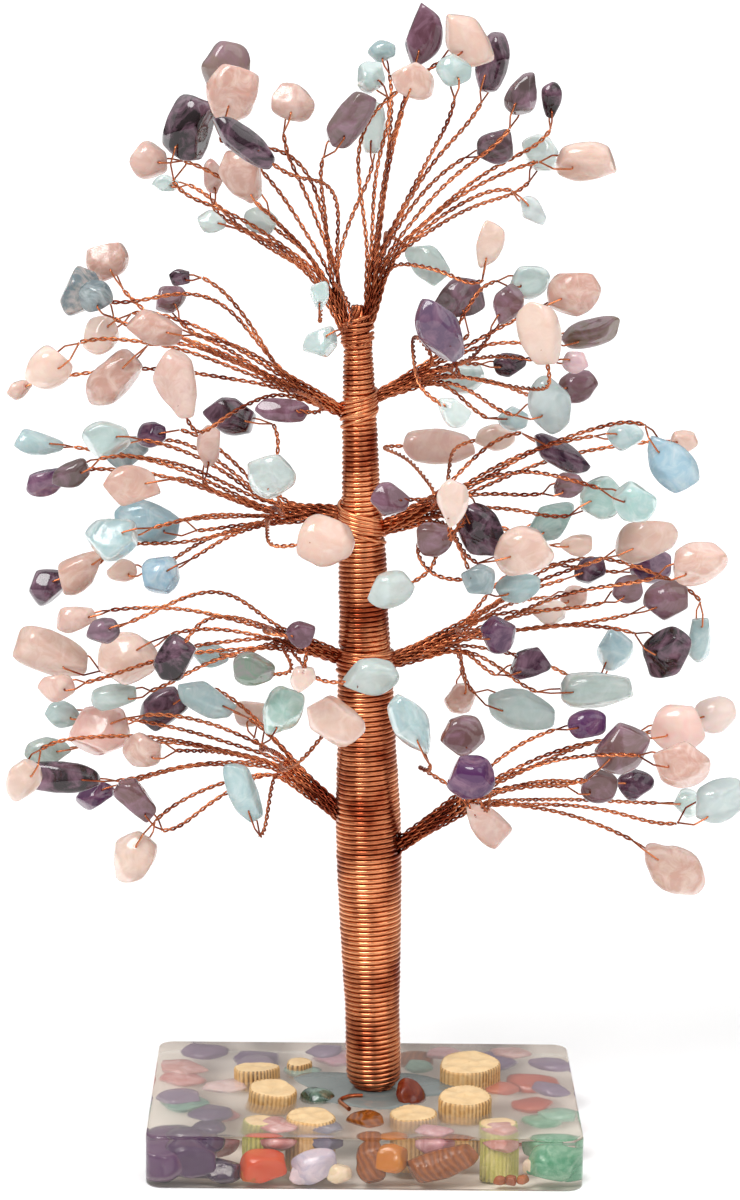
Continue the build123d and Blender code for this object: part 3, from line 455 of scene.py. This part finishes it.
def readBranch(name):
    # the bundle's axis and every leaf wire's middle line, read off the frame's solids
    points, faces, solid = solidsOf(name + "_wires")
    joint = next(j for j in frame["joints"] if j["child"] == name)
    pivot = np.array(joint["pos_m"])
    near = np.linalg.norm(points - pivot, axis=1)
    bundle = solid[near.argmin()]
    mine = points[solid == bundle]
    far = np.linalg.norm(mine - pivot, axis=1)
    rim = mine[far > far.max() - 0.01 * mm]
    fan = rim.mean(axis=0)
    reach = np.linalg.norm(fan - pivot)
    way = (fan - pivot) / reach
    spread = np.linalg.norm(rim - fan, axis=1).mean()
    tall = (mine - pivot) @ way
    off = np.linalg.norm(mine - pivot - tall[:, None] * way, axis=1)
    neck = off[tall > 0.25 * reach].min()
    branch = {
        "name": name, "pivot": pivot, "fan": fan, "way": way,
        "reach": reach, "spread": spread, "neck": neck,
    }

    # distance along the skin from the ends that sit on the bundle
    edges = edgesOf(faces)
    length = np.linalg.norm(points[edges[:, 0]] - points[edges[:, 1]], axis=1)
    tall = (points - pivot) @ way
    off = np.linalg.norm(points - pivot - tall[:, None] * way, axis=1)
    start = (np.abs(tall - reach) < 0.02 * mm) & (off < spread + 0.05 * mm) & (solid != bundle)
    skin = np.where(start, 0.0, 9.0)
    both = np.vstack([edges, edges[:, ::-1]])
    twice = np.concatenate([length, length])
    while True:
        less = skin.copy()
        np.minimum.at(less, both[:, 1], skin[both[:, 0]] + twice)
        if np.array_equal(less, skin):
            break
        skin = less
    leaves = np.unique(solid[solid != bundle])
    branch["stems"] = [readStem(points, faces, edges, skin, solid == k) for k in leaves]
    return branch


def readStem(points, faces, edges, skin, own):
    # one leaf wire cut at even steps along its skin: its middle line up to the loop, and the loop's faces
    step = wire["readStep"] * mm
    mine = edges[own[edges[:, 0]]]
    swap = skin[mine[:, 0]] > skin[mine[:, 1]]
    a = np.where(swap, mine[:, 1], mine[:, 0])
    b = np.where(swap, mine[:, 0], mine[:, 1])
    low, high = skin[a], skin[b]
    first = np.floor(low / step).astype(int) + 1
    count = np.maximum(np.floor(high / step).astype(int) - first + 1, 0)
    which = np.repeat(np.arange(len(mine)), count)
    level = np.concatenate([np.arange(f, f + c) for f, c in zip(first, count)])
    share = (level * step - low[which]) / (high - low)[which]
    cut = points[a][which] * (1 - share[:, None]) + points[b][which] * share[:, None]
    top = level.max()
    tally = np.maximum(np.bincount(level, minlength=top + 1), 1)
    middle = np.column_stack([np.bincount(level, cut[:, k], top + 1) for k in range(3)]) / tally[:, None]
    wide = np.bincount(level, np.linalg.norm(cut - middle[level], axis=1), top + 1) / tally
    begin = points[own & (skin == 0)].mean(axis=0)
    end = next((k for k in range(4, top) if wide[k] < 0.4 * mm), top)
    line = np.vstack([begin[None], middle[1:end]])
    past = min(end + 2, top)
    legs = cut[level == past]
    reach = legs - middle[past]
    side = reach[np.linalg.norm(reach, axis=1).argmax()]
    loop = faces[np.all(own[faces] & (skin[faces] > (end - 0.6) * step), axis=1)]
    return {"line": line, "side": side, "loopFaces": loop, "points": points}


def strandPair(bag, path, run, endSide, radius):
    # two strands twisted round the path, lying with the loop's legs at its end
    one, two = carried(path)
    way = np.cross(one[-1], two[-1])
    last = endSide - (endSide @ way) * way
    lay = math.atan2(last @ two[-1], last @ one[-1])
    angle = lay + (run - run[-1]) * 2 * math.pi / (wire["twist"] * mm)
    for turn in (0, math.pi):
        off = np.cos(angle + turn)[:, None] * one + np.sin(angle + turn)[:, None] * two
        addTube(bag, path + off * wire["lay"] * mm, radius, 6)


def drawBranch(branch):
    bag = emptyBag()
    radius = wire["strand"] * mm
    pivot, way, reach = branch["pivot"], branch["way"], branch["reach"]
    for stem in branch["stems"]:
        lane = stem["line"][0] - branch["fan"]
        # back through the bundle, drawn together and given a lay
        tall = np.linspace(0, reach, 12)[:-1]
        neck = 1.2 * branch["neck"]
        squeeze = np.interp(tall, [0, reach], [neck, branch["spread"]]) / branch["spread"]
        turn = (1 - tall / reach) * wire["bundleTurn"]
        across = np.cross(way, lane)
        swung = np.cos(turn)[:, None] * lane + np.sin(turn)[:, None] * across
        inner = pivot + tall[:, None] * way + squeeze[:, None] * swung
        path, run = resample(np.vstack([inner, stem["line"]]), wire["drawStep"] * mm)
        for again in range(int(2 * (wire["bend"] / wire["drawStep"]) ** 2)):
            path[1:-1] += (path[:-2] + path[2:] - 2 * path[1:-1]) / 4
        strandPair(bag, path, run, stem["side"], radius)
        used = np.unique(stem["loopFaces"])
        if len(used):
            renumber = np.zeros(len(stem["points"]), int)
            renumber[used] = np.arange(len(used))
            addPart(bag, stem["points"][used], renumber[stem["loopFaces"]])
    name = branch["name"]
    newObject(name + "Wires", bag, materials["twisted"], name, [name + "_wires"])


branchNames = [n[: -len("_wires")] for n in frame["nodes"] if n.endswith("_wires")]
branches = [readBranch(n) for n in branchNames]
for b in branches:
    drawBranch(b)
print("leaf wires drawn:", sum(len(b["stems"]) for b in branches))


# trunk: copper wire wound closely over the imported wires, millimetres
# wander is how far the winding strays, clear the room it leaves round a branch, past a share of a belt's run
trunk = {
    "wire": 1.06, "pitch": 1.08, "wander": 0.05, "clear": 0.45, "bareTop": 5, "coreTop": 2.5,
    "stepsPerTurn": 24, "bin": 1.5,
    "belts": 6, "beltRise": 0.85, "beltWire": 0.9, "beltSlant": 1.2, "beltProud": 0.35, "beltPast": 0.08,
}


wraps = [n for n in frame["nodes"] if n.startswith("trunk_wrap_")]


def readTrunk():
    # the trunk's line and its outside radius at each height
    core = solidsOf("trunk_core")[0]
    height = core[:, 2]
    foot = core[height < height.min() + 0.5 * mm].mean(axis=0)
    top = core[height > height.max() - 0.5 * mm].mean(axis=0)
    length = np.linalg.norm(top - foot)
    axis = (top - foot) / length
    tall, wide = [], []
    for name in ["trunk_core"] + wraps:
        points = solidsOf(name)[0]
        t = (points - foot) @ axis
        tall.append(t)
        wide.append(np.linalg.norm(points - foot - t[:, None] * axis, axis=1))
    tall, wide = np.concatenate(tall), np.concatenate(wide)
    slot = (tall / (trunk["bin"] * mm)).astype(int)
    radius = np.zeros(slot.max() + 1)
    np.maximum.at(radius, slot, wide)
    radius = np.convolve(np.pad(radius, 2, mode="edge"), np.ones(5) / 5, mode="valid")
    at = (np.arange(len(radius)) + 0.5) * trunk["bin"] * mm
    side = unit(np.cross(axis, (0, 1, 0)))
    return {
        "foot": foot, "axis": axis, "side": side, "front": np.cross(axis, side),
        "length": length, "at": at, "radius": radius,
    }


stem = readTrunk()


def trunkRadius(tall):
    return np.interp(tall, stem["at"], stem["radius"])


def onTrunk(tall, turn, out):
    off = np.cos(turn)[:, None] * stem["side"] + np.sin(turn)[:, None] * stem["front"]
    return stem["foot"] + tall[:, None] * stem["axis"] + out[:, None] * off


def inBranchRoot(points):
    # where a branch's bundle leaves the trunk
    hit = np.zeros(len(points), bool)
    for b in branches:
        tall = (points - b["pivot"]) @ b["way"]
        off = np.linalg.norm(points - b["pivot"] - tall[:, None] * b["way"], axis=1)
        hit |= (tall > 0) & (off < b["neck"] + trunk["clear"] * mm)
    return hit


def drawTrunk():
    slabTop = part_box("resin_slab")[1][2]
    low = (slabTop - stem["foot"][2]) / stem["axis"][2]
    high = stem["length"] - trunk["bareTop"] * mm
    radius = trunk["wire"] / 2 * mm
    turns = (high - low) / (trunk["pitch"] * mm)
    t = np.arange(int(turns * trunk["stepsPerTurn"])) / trunk["stepsPerTurn"]
    tall = low + t * trunk["pitch"] * mm
    rng = np.random.default_rng(7)
    marks = int(turns) + 2
    wander = np.interp(t, np.arange(marks), rng.normal(0, trunk["wander"] * mm, marks))
    path = onTrunk(tall, t * 2 * math.pi, trunkRadius(tall) - radius + wander)
    bag = emptyBag()
    skip = inBranchRoot(path)
    start = 0
    for i in range(1, len(path) + 1):
        if i == len(path) or skip[i] != skip[start]:
            if not skip[start] and i - start > 3:
                addTube(bag, path[start:i], radius, 8)
            start = i
    newObject("trunkWinding", bag, materials["copper"], "trunk", wraps)
    # packed wires inside, a plain turned body just under the winding, coloured near black as painted shade
    # between the turns
    bag = emptyBag()
    rows = np.linspace(0, stem["length"] - trunk["coreTop"] * mm, 140)
    line = stem["foot"] + rows[:, None] * stem["axis"]
    addTube(bag, line, trunkRadius(rows) - 1.5 * radius, 32)
    newObject("trunkCorePaintedShade", bag, materials["core"], "trunk", ["trunk_core"])


def drawBelts():
    # at each pair of branches some wires run across the trunk's front from one to the other
    bag = emptyBag()
    rng = random.Random(3)
    named = {b["name"]: b for b in branches}
    twins = [(n, n.replace("left", "right")) for n in named if n.endswith("_left")]
    pairs = [(named[left], named[right]) for left, right in twins if right in named]
    for left, right in pairs[1:]:
        ends = []
        for b in (left, right):
            off = b["pivot"] - stem["foot"]
            tall = off @ stem["axis"]
            spoke = b["way"] - (b["way"] @ stem["axis"]) * stem["axis"]
            ends.append((tall, math.atan2(spoke @ stem["front"], spoke @ stem["side"])))
        (low, start), (high, end) = ends
        while end < start:
            end += 2 * math.pi
        for k in range(trunk["belts"]):
            rise = (k - (trunk["belts"] - 1) / 2) * trunk["beltRise"] * mm
            share = np.linspace(-trunk["beltPast"], 1 + trunk["beltPast"], 40)
            slant = rng.uniform(-trunk["beltSlant"], trunk["beltSlant"]) * mm
            tall = low + (high - low) * share + rise + slant * (share - 0.5)
            out = trunkRadius(tall) + rng.uniform(0.0, trunk["beltProud"]) * mm
            path = onTrunk(tall, start + (end - start) * share, out)
            addTube(bag, path, trunk["beltWire"] / 2 * mm, 8)
    newObject("branchBelts", bag, materials["copper"], "trunk", ())


# wires that leave the winding's top as a rope, between the two leaders: millimetres
rope = {"wires": 7, "wire": 2.0, "below": 7, "above": 1.5, "foot": 2.3, "tip": 0.8, "turns": 0.5, "taper": 0.5}


def drawRope():
    bag = emptyBag()
    share = np.linspace(0, 1, 40)
    tall = stem["length"] + (share * (rope["below"] + rope["above"]) - rope["below"]) * mm
    out = (rope["foot"] + (rope["tip"] - rope["foot"]) * share) * mm
    for k in range(rope["wires"]):
        turn = (k / rope["wires"] + rope["turns"] * share) * 2 * math.pi
        addTube(bag, onTrunk(tall, turn, out), rope["wire"] / 2 * mm * (1 - rope["taper"] * share), 8)
    newObject("leaderRope", bag, materials["copper"], "trunk", ())


drawTrunk()
drawRope()
drawBelts()
print("trunk wound")


# chips

def ball(level):
    shape = bmesh.new()
    bmesh.ops.create_icosphere(shape, subdivisions=level, radius=1)
    points = np.array([v.co[:] for v in shape.verts])
    faces = np.array([[v.index for v in f.verts] for f in shape.faces])
    shape.free()
    return points, faces


ballPoints, ballFaces = ball(4)
ballEdges = edgesOf(ballFaces)
ballTally = np.bincount(ballEdges.ravel(), minlength=len(ballPoints))[:, None]


def smoothed(points, share):
    total = np.zeros_like(points)
    np.add.at(total, ballEdges[:, 0], points[ballEdges[:, 1]])
    np.add.at(total, ballEdges[:, 1], points[ballEdges[:, 0]])
    return points * (1 - share) + total / ballTally * share


# how much each kind's skin rolls, and how far it's swelled to make up for its flats
stones = {
    "rose": {
        "uneven": 0.05, "fill": 1.13,
        "tones": ["#DCBBAC", "#D3AC9D", "#E4CBBE", "#C99F91", "#E0C4B5", "#D8B4A8"],
    },
    "dark": {
        "uneven": 0.05, "fill": 1.13,
        "tones": ["#5E3A46", "#6E504F", "#4A2248", "#2B121E", "#1A0B10", "#542A58", "#361A2E"],
    },
    "aqua": {
        "uneven": 0.05, "fill": 1.13,
        "tones": ["#BDD1CE", "#B0CACC", "#C7D8D3", "#ABC4C6", "#D0DCD8", "#A9C6D0"],
    },
    "cast": {"uneven": 0.08, "fill": 1.08},
}
# worn flats: how many round a chip and over it, their lean in radians, and the share of the reach they leave
flats = {
    "round": 5, "over": 3, "stray": 0.3, "lean": 0.35, "overLean": 1.2, "overStray": 0.25,
    "leave": (0.64, 0.93), "overLeave": (0.7, 0.9), "worn": 0.93,
}


def tumbled(points, faces, kind, seed):
    # a tumbled stone drawn over the frame's chip: about its reach, worn flats, uneven skin
    rng = random.Random(seed)
    centre = (points.min(axis=0) + points.max(axis=0)) / 2
    centre = centre * 0.4 + points.mean(axis=0) * 0.6
    axes = np.linalg.svd(points - centre, full_matrices=False)[2]
    half = np.abs((points - centre) @ axes.T).max(axis=0)
    ways = unit((ballPoints * half) @ axes)
    tree = BVHTree.FromPolygons(points.tolist(), faces.tolist())
    far = half.max() * 3
    out = np.empty_like(ways)
    for i, way in enumerate(ways):
        hit = tree.ray_cast(Vector(centre + way * far), Vector(-way))[0]
        out[i] = hit if hit else centre
    shape = out - centre
    reach = np.linalg.norm(shape, axis=1)
    lean = smoothed(np.repeat(reach[:, None], 3, axis=1), 1.0)[:, 0]
    shape = ways * np.maximum(reach, lean * 0.985)[:, None]
    for k in range(flats["round"] + flats["over"]):
        # flats round the outline first, then those across the thickness
        around = (k + rng.uniform(-flats["stray"], flats["stray"])) * 2 * math.pi / flats["round"]
        if k < flats["round"]:
            lift = rng.uniform(-flats["lean"], flats["lean"])
            leave = flats["leave"]
        else:
            lift = rng.choice((-flats["overLean"], flats["overLean"]))
            lift += rng.uniform(-flats["overStray"], flats["overStray"])
            leave = flats["overLeave"]
        facing = (math.cos(around) * math.cos(lift), math.sin(around) * math.cos(lift), math.sin(lift))
        normal = unit(np.array(facing)) @ axes
        up = shape @ normal
        limit = up.max() * rng.uniform(*leave)
        shape = shape - flats["worn"] * np.maximum(up - limit, 0)[:, None] * normal
    shape = smoothed(smoothed(shape, 0.5), 0.4)
    shift = Vector([rng.uniform(-50, 50) for i in range(3)])
    for i, way in enumerate(ways):
        low = noise.noise(Vector(way) * 1.3 + shift) + 0.4 * noise.noise(Vector(way) * 2.9 + shift)
        shape[i] *= 1 + stones[kind]["uneven"] * (low - 0.15)
    return centre + shape * stones[kind]["fill"]


ownReach = 14  # pixels from a place below to the chip it belongs to
# tones picked out where a chip differs from its kind, at its place in the photograph
ownTones = [
    (214, 178, "#C79B92"), (242, 142, "#2C1A24"), (228, 72, "#8A736C"), (350, 120, "#6E5B57"),
    (523, 93, "#4A3A3A"), (497, 146, "#4E3E3E"), (458, 299, "#5B4A4C"), (70, 475, "#5C4A48"),
    (97, 631, "#6A5860"), (440, 330, "#5D4560"), (589, 332, "#6B5446"), (629, 704, "#5A4440"),
    (173, 658, "#21151A"), (61, 776, "#2A2023"), (480, 532, "#2A1820"), (533, 212, "#CBD3D2"),
    (92, 292, "#6E7C82"), (125, 452, "#8E9DA0"), (479, 579, "#8C9C9F"), (550, 405, "#C9D6D6"),
    (272, 474, "#C3CFCC"), (719, 800, "#CCD9D8"), (147, 520, "#9FC2CE"), (158, 576, "#94B4C6"),
    (670, 462, "#A5C6D6"), (614, 650, "#A9C8D0"), (603, 497, "#A9C9C2"), (632, 500, "#A6C8C4"),
    (552, 520, "#9FBFB8"), (252, 668, "#6E8472"), (280, 711, "#A9CDC2"), (48, 753, "#A9B5AC"),
    (100, 729, "#E2B4AA"), (679, 727, "#EBC6BC"), (552, 609, "#F0E2DA"), (714, 716, "#F0DCD4"),
    (575, 360, "#DDBEC4"),
]


def toneFor(centre, kind, rng):
    x, y = photoPixel(centre)
    near = min(ownTones, key=lambda t: (t[0] - x) ** 2 + (t[1] - y) ** 2)
    close = math.hypot(near[0] - x, near[1] - y) < ownReach
    hexText = near[2] if close else rng.choice(stones[kind]["tones"])
    shade = rng.uniform(0.9, 1.06)
    return [min(1, c * shade) for c in toLinear(hexText)[:3]] + [1]


def drawChips():
    kinds = {
        "_rose_quartz": ("rose", "rose_quartz"),
        "_dark_quartz": ("dark", "amethyst"),
        "_aquamarine": ("aqua", "aquamarine"),
    }
    bodies = {n: b["name"] for b in branches for n in frame["nodes"] if n.startswith(b["name"] + "_")}
    jobs = []
    for node in frame["nodes"]:
        for tail, (kind, slot) in kinds.items():
            if node.endswith(tail):
                jobs.append((node, bodies[node], kind, slot))
        if node.startswith("lone_chip_"):
            jobs.append((node, node, "rose", "rose_quartz"))
    seed = 0
    for node, body, kind, slot in jobs:
        bag = emptyBag()
        for points, faces in piecesOf(node):
            seed += 1
            shape = tumbled(points, faces, kind, seed)
            addPart(bag, shape, ballFaces, toneFor(shape.mean(axis=0), kind, random.Random(seed)))
        newObject(node + ".stone", bag, materials[kind], body, [node])
    return seed


print("chips shaped:", drawChips())


# base

# cast slab, millimetres: its rounded corners, the softened rims, and the room that stones keep to inside
slab = {"corner": 3.6, "rim": 0.7, "floor": 0.6, "roof": 11.0, "wall": 0.5}


def drawSlab():
    low, high = (Vector(v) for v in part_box("resin_slab"))
    shape = bmesh.new()
    fill = Matrix.Translation((low + high) / 2) @ Matrix.Diagonal((*(high - low), 1))
    bmesh.ops.create_cube(shape, size=1, matrix=fill)
    upright = [e for e in shape.edges if abs(e.verts[0].co.z - e.verts[1].co.z) > 1 * mm]
    bmesh.ops.bevel(shape, geom=upright, offset=slab["corner"] * mm, segments=6, affect="EDGES", profile=0.5)
    level = [e for e in shape.edges if abs(e.verts[0].co.z - e.verts[1].co.z) < 0.01 * mm]
    rims = [e for e in level if len(e.link_faces) == 2 and e.calc_face_angle(0) > 1]
    bmesh.ops.bevel(shape, geom=rims, offset=slab["rim"] * mm, segments=4, affect="EDGES", profile=0.5)
    mesh = bpy.data.meshes.new("resinSlab")
    shape.to_mesh(mesh)
    shape.free()
    mesh.shade_smooth()
    for name in ("resin", "underside", "resinTop"):
        mesh.materials.append(materials[name])
    for face in mesh.polygons:
        if abs(face.normal.z) > 0.9:
            face.material_index = 1 if face.normal.z < 0 else 2
    obj = bpy.data.objects.new("resinSlab", mesh)
    scene.collection.objects.link(obj)
    obj.visible_shadow = False  # lamps reach the stones inside, as they do through clear resin
    obj.visible_diffuse = False
    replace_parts(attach(obj, "trunk"), "resin_slab")


# tones of the stones in the slab, each node's from left to right
castTones = {
    "cast_amethyst": ("castAmethyst", ["#3A1440", "#6E5878", "#6E5878"]),
    "cast_carnelian": ("carnelian", ["#B83A08", "#5E180A", "#A84E3E", "#A84E3E"]),
    "cast_rose": ("castRose", ["#B57872", "#A96C6E", "#A59CAC", "#B08694"]),
    "cast_tiger_eye": ("tigerEye", ["#B98A3E"]),
    "cast_aventurine": ("aventurine", ["#5E7F74", "#1C3226", "#649678", "#3E8460"]),
}


def leftToRight(node):
    return sorted(piecesOf(node), key=lambda part: part[0][:, 0].mean())


def drawCastStones():
    seed = 500
    for node, (kind, tones) in castTones.items():
        bag = emptyBag()
        for k, (points, faces) in enumerate(leftToRight(node)):
            seed += 1
            tone = toLinear(tones[min(k, len(tones) - 1)])
            addPart(bag, tumbled(points, faces, "cast", seed), ballFaces, tone)
        newObject(node + ".stone", bag, materials[kind], "trunk", [node])


# smaller stones between them, as they show through the top and the front: millimetres from the slab's middle
gravel = [
    (-42, -27.5, 5, 6.5, "castAmethyst", "#4E2650"), (-30, -28.5, 3.2, 4.2, "castAmethyst", "#260A2A"),
    (-33, -24, 8.6, 4.5, "castAmethyst", "#4A3550"), (-24, -29.5, 2.4, 2.6, "carnelian", "#9A4C14"),
    (-13, -29, 2.8, 3.2, "castRose", "#B9A9B0"), (5.5, -29, 6.2, 4.4, "carnelian", "#A86408"),
    (-5.5, -29.5, 3.2, 3.0, "castRose", "#CDB995"), (31, -29.8, 1.9, 1.7, "carnelian", "#7E3F1A"),
    (33.5, -29.6, 2.1, 1.5, "carnelian", "#94501F"), (28.7, -29.6, 1.8, 1.4, "carnelian", "#8A4A20"),
    (36, -28.5, 4.6, 2.6, "castRose", "#C9B49A"), (43, -26, 3.4, 3.2, "aventurine", "#5E9C7C"),
    (-41, 16, 8.4, 6.4, "castRose", "#B88680"), (-36, 28, 8.6, 6.0, "castAmethyst", "#857089"),
    (-30, 3, 8.8, 5.2, "castRose", "#BFA3A0"), (-40, -4, 8.2, 5.4, "castAmethyst", "#7C6A80"),
    (-33, -15, 8.6, 5.6, "castAmethyst", "#5E4C66"), (-19, -22, 8.8, 4.6, "castRose", "#B0706C"),
    (-8, -23.5, 8.8, 4.0, "castAmethyst", "#75707E"), (15, -25, 8.6, 4.4, "castRose", "#B07A80"),
    (29, -23, 8.8, 4.6, "castRose", "#B57F74"), (42, -14, 8.4, 5.2, "aventurine", "#7FA893"),
    (41, 3, 8.6, 5.0, "castAmethyst", "#88748C"), (30, 3, 8.8, 5.0, "carnelian", "#B4604E"),
    (42, 20, 8.6, 5.4, "castAmethyst", "#8A7690"), (33, 28, 8.8, 5.0, "castRose", "#BC9490"),
    (19, 27, 8.6, 5.2, "castRose", "#B98C90"), (-9, 29, 8.8, 5.0, "castAmethyst", "#8E7C94"),
    (-24, 20, 8.8, 5.0, "castAmethyst", "#8C7A8E"), (12, 18, 8.6, 4.6, "aventurine", "#7C988C"),
    (-14, 14, 8.4, 4.6, "aventurine", "#6E8A84"),
]


def drawGravel():
    rng = random.Random(77)
    bags = {}
    low, high = np.array(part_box("resin_slab"))[:, :2]
    wall = slab["wall"] * mm
    for x, y, z, reach, kind, hexText in gravel:
        half = [reach * rng.uniform(0.95, 1.15), reach * rng.uniform(0.75, 0.9)]
        half.append(min(reach * 0.72, z - slab["floor"], slab["roof"] - z))
        spin = rng.uniform(0, math.pi)
        along, across, up = (ballPoints * np.array(half)).T
        points = np.column_stack([
            along * math.cos(spin) - across * math.sin(spin),
            along * math.sin(spin) + across * math.cos(spin),
            up,
        ])
        points = (points + (x, y, z)) * mm
        points[:, :2] = points[:, :2].clip(low + wall, high - wall)
        stone = tumbled(points, ballFaces, "cast", rng.randrange(9999))
        addPart(bags.setdefault(kind, emptyBag()), stone, ballFaces, toLinear(hexText))
    for kind, bag in bags.items():
        newObject("gravel." + kind, bag, materials[kind], "trunk", ())


# ribbed slices: millimetres
slices = {
    "rib": 1.0, "depth": 0.22, "perRib": 6, "edge": 0.8, "wear": 0.35, "top": "#E2C08E",
    "ridge": "#CFA266", "valley": "#55300E", "sealedRidge": "#B5AE52", "sealedValley": "#5A5E1E",
}


def ribbedSlice(points, faces, rng, sealed):
    # an upright slice with fine ribs down its side and a flat, slightly worn top
    corner = points[faces]
    lean = np.cross(corner[:, 1] - corner[:, 0], corner[:, 2] - corner[:, 0])
    axis = unit(lean[lean[:, 2] > 0.85 * np.linalg.norm(lean, axis=1)].sum(axis=0))
    tall = points @ axis
    middle = points.mean(axis=0)
    middle = middle + ((tall.min() + tall.max()) / 2 - middle @ axis) * axis
    side = unit(np.cross(axis, (0, 1, 0)))
    front = np.cross(axis, side)
    half = (tall.max() - tall.min()) / 2
    wide = np.linalg.norm(points - middle - ((points - middle) @ axis)[:, None] * axis, axis=1).max()
    edge = slices["edge"] * mm
    bend = np.linspace(0, math.pi / 2, 5)
    rows = [(share * (wide - edge), half) for share in np.linspace(0.02, 1, 10)[:-1]]
    rows += [(wide - edge + edge * math.sin(a), half - edge + edge * math.cos(a)) for a in bend]
    rows += [(wide, z) for z in np.linspace(half - edge, -half, 10)[1:]]
    rows += [(0.02 * wide, -half)]
    ribs = max(8, round(2 * math.pi * wide / (slices["rib"] * mm)))
    turn = np.arange(ribs * slices["perRib"]) * 2 * math.pi / (ribs * slices["perRib"])
    wave = 0.5 + 0.5 * np.cos(turn * ribs + 1.5 * np.sin(3 * turn))
    outline = np.ones(len(turn))
    for share, lobes in ((0.05, 2), (0.035, 3), (0.02, 5)):
        outline += share * np.sin(lobes * turn + rng.uniform(0, 6))
    shift = Vector([rng.uniform(-9, 9) for i in range(3)])
    names = ("sealedRidge", "sealedValley", "top") if sealed else ("ridge", "valley", "top")
    ridge, valley, top = (np.array(toLinear(slices[n])) for n in names)
    shape, tone = [], []
    for r, z in rows:
        onTop = z > half - 0.2 * edge
        out = r * outline - (0 if onTop else slices["depth"] * mm) * wave
        ring = middle + out[:, None] * (np.cos(turn)[:, None] * side + np.sin(turn)[:, None] * front)
        wear = np.array([noise.noise(Vector(v) * 420 + shift) for v in ring])
        lift = z + (wear - 0.6) * slices["wear"] * mm if onTop else np.full(len(turn), z)
        shape.append(ring + lift[:, None] * axis)
        patch = np.array([noise.noise(Vector(v) * 160 + shift) for v in ring])
        mix = (wave ** 1.5 * (0.65 + 0.9 * patch))[:, None].clip(0, 1)
        tone.append(top * (0.93 + 0.12 * wear[:, None]) if onTop else ridge * (1 - mix) + valley * mix)
    count = len(turn)
    grid = []
    for i in range(len(rows) - 1):
        for k in range(count):
            a, b = i * count + k, i * count + (k + 1) % count
            grid.append((a, a + count, b + count, b))
    return np.vstack(shape), grid, np.vstack(tone)


def drawSlices():
    bag = emptyBag()
    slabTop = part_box("resin_slab")[1][2]
    rng = random.Random(21)
    for points, faces in leftToRight("ribbed_slices"):
        addPart(bag, *ribbedSlice(points, faces, rng, points[:, 2].max() < slabTop))
    newObject("ribbed_slices.stone", bag, materials["ribbed"], "trunk", ["ribbed_slices"])


# the last pour round the foot, millimetres: rings give a share of the reach and a height over the slab
pool = {
    "reach": 15, "wide": 1.15, "deep": 0.8, "steps": 96,
    "rings": [(1.0, -0.2), (0.97, 0.16), (0.9, 0.34), (0.7, 0.42), (0.3, 0.55), (0.05, 0.6)],
}


def drawPool():
    # a thin skin with an uneven edge
    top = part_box("resin_slab")[1][2]
    middle = stem["foot"] + (top - stem["foot"][2]) / stem["axis"][2] * stem["axis"]
    count = pool["steps"]
    turn = np.arange(count) * 2 * math.pi / count
    edge = (pool["reach"] + 2.2 * np.sin(3 * turn + 0.5) + 1.5 * np.sin(5 * turn + 2)) * mm
    rows = []
    for share, rise in pool["rings"]:
        x = middle[0] + share * edge * pool["wide"] * np.cos(turn)
        y = middle[1] + share * edge * pool["deep"] * np.sin(turn)
        rows.append(np.column_stack([x, y, np.full(count, top + rise * mm)]))
    faces = []
    for i in range(len(rows) - 1):
        for k in range(count):
            a, b = i * count + k, i * count + (k + 1) % count
            faces.append((a, b, b + count, a + count))
    bag = emptyBag()
    addPart(bag, np.vstack(rows), faces)
    newObject("resinPool", bag, materials["pool"], "trunk", ())


drawSlab()
drawCastStones()
drawGravel()
drawSlices()
drawPool()
tail = frame["nodes"]["foot_wire_tail"]
tail.data.materials.clear()
tail.data.materials.append(materials["copper"])
print("base dressed")


# stage

# suns: turn in degrees, strength, and width in degrees
suns = {"keyLight": ((42, 0, -34), 2.0, 28), "fillLight": ((52, 0, 42), 0.8, 50)}


def addStage():
    mesh = bpy.data.meshes.new("floor")
    side = 20  # metres, past the edge of any view
    low = -0.3 * mm  # just under the slab, so that the two faces don't lie in one plane
    corners = [(-side, -side, low), (side, -side, low), (side, side, low), (-side, side, low)]
    mesh.from_pydata(corners, [], [(0, 1, 2, 3)])
    floor = bpy.data.objects.new("floor", mesh)
    scene.collection.objects.link(floor)
    paper = newMaterial("whitePaper", {"Base Color": toLinear("#FAFAFA"), "Roughness": 0.9})[0]
    mesh.materials.append(paper)
    world = bpy.data.worlds.new("studio")
    scene.world = world
    world.use_nodes = True
    background = world.node_tree.nodes["Background"]
    place = addNode(world, "ShaderNodeTexCoord")
    height = addNode(world, "ShaderNodeSeparateXYZ", links=[(place, "Generated", "Vector")])
    # dim walls below a bright ceiling, so that round metal shows dark edges
    ceiling = addNode(
        world, "ShaderNodeMapRange",
        {"From Min": 0.0, "From Max": 0.75, "To Min": 0.1, "To Max": 1.15}, [(height, "Z", "Value")],
    )
    link(world, ceiling, "Result", background, "Color")
    background.inputs["Strength"].default_value = 0.8
    for name, (turn, strength, angle) in suns.items():
        lamp = bpy.data.lights.new(name, "SUN")
        lamp.energy = strength
        lamp.angle = math.radians(angle)
        obj = bpy.data.objects.new(name, lamp)
        obj.rotation_euler = [math.radians(v) for v in turn]
        scene.collection.objects.link(obj)
    scene.view_settings.view_transform = "Standard"


addStage()
print("stage set")
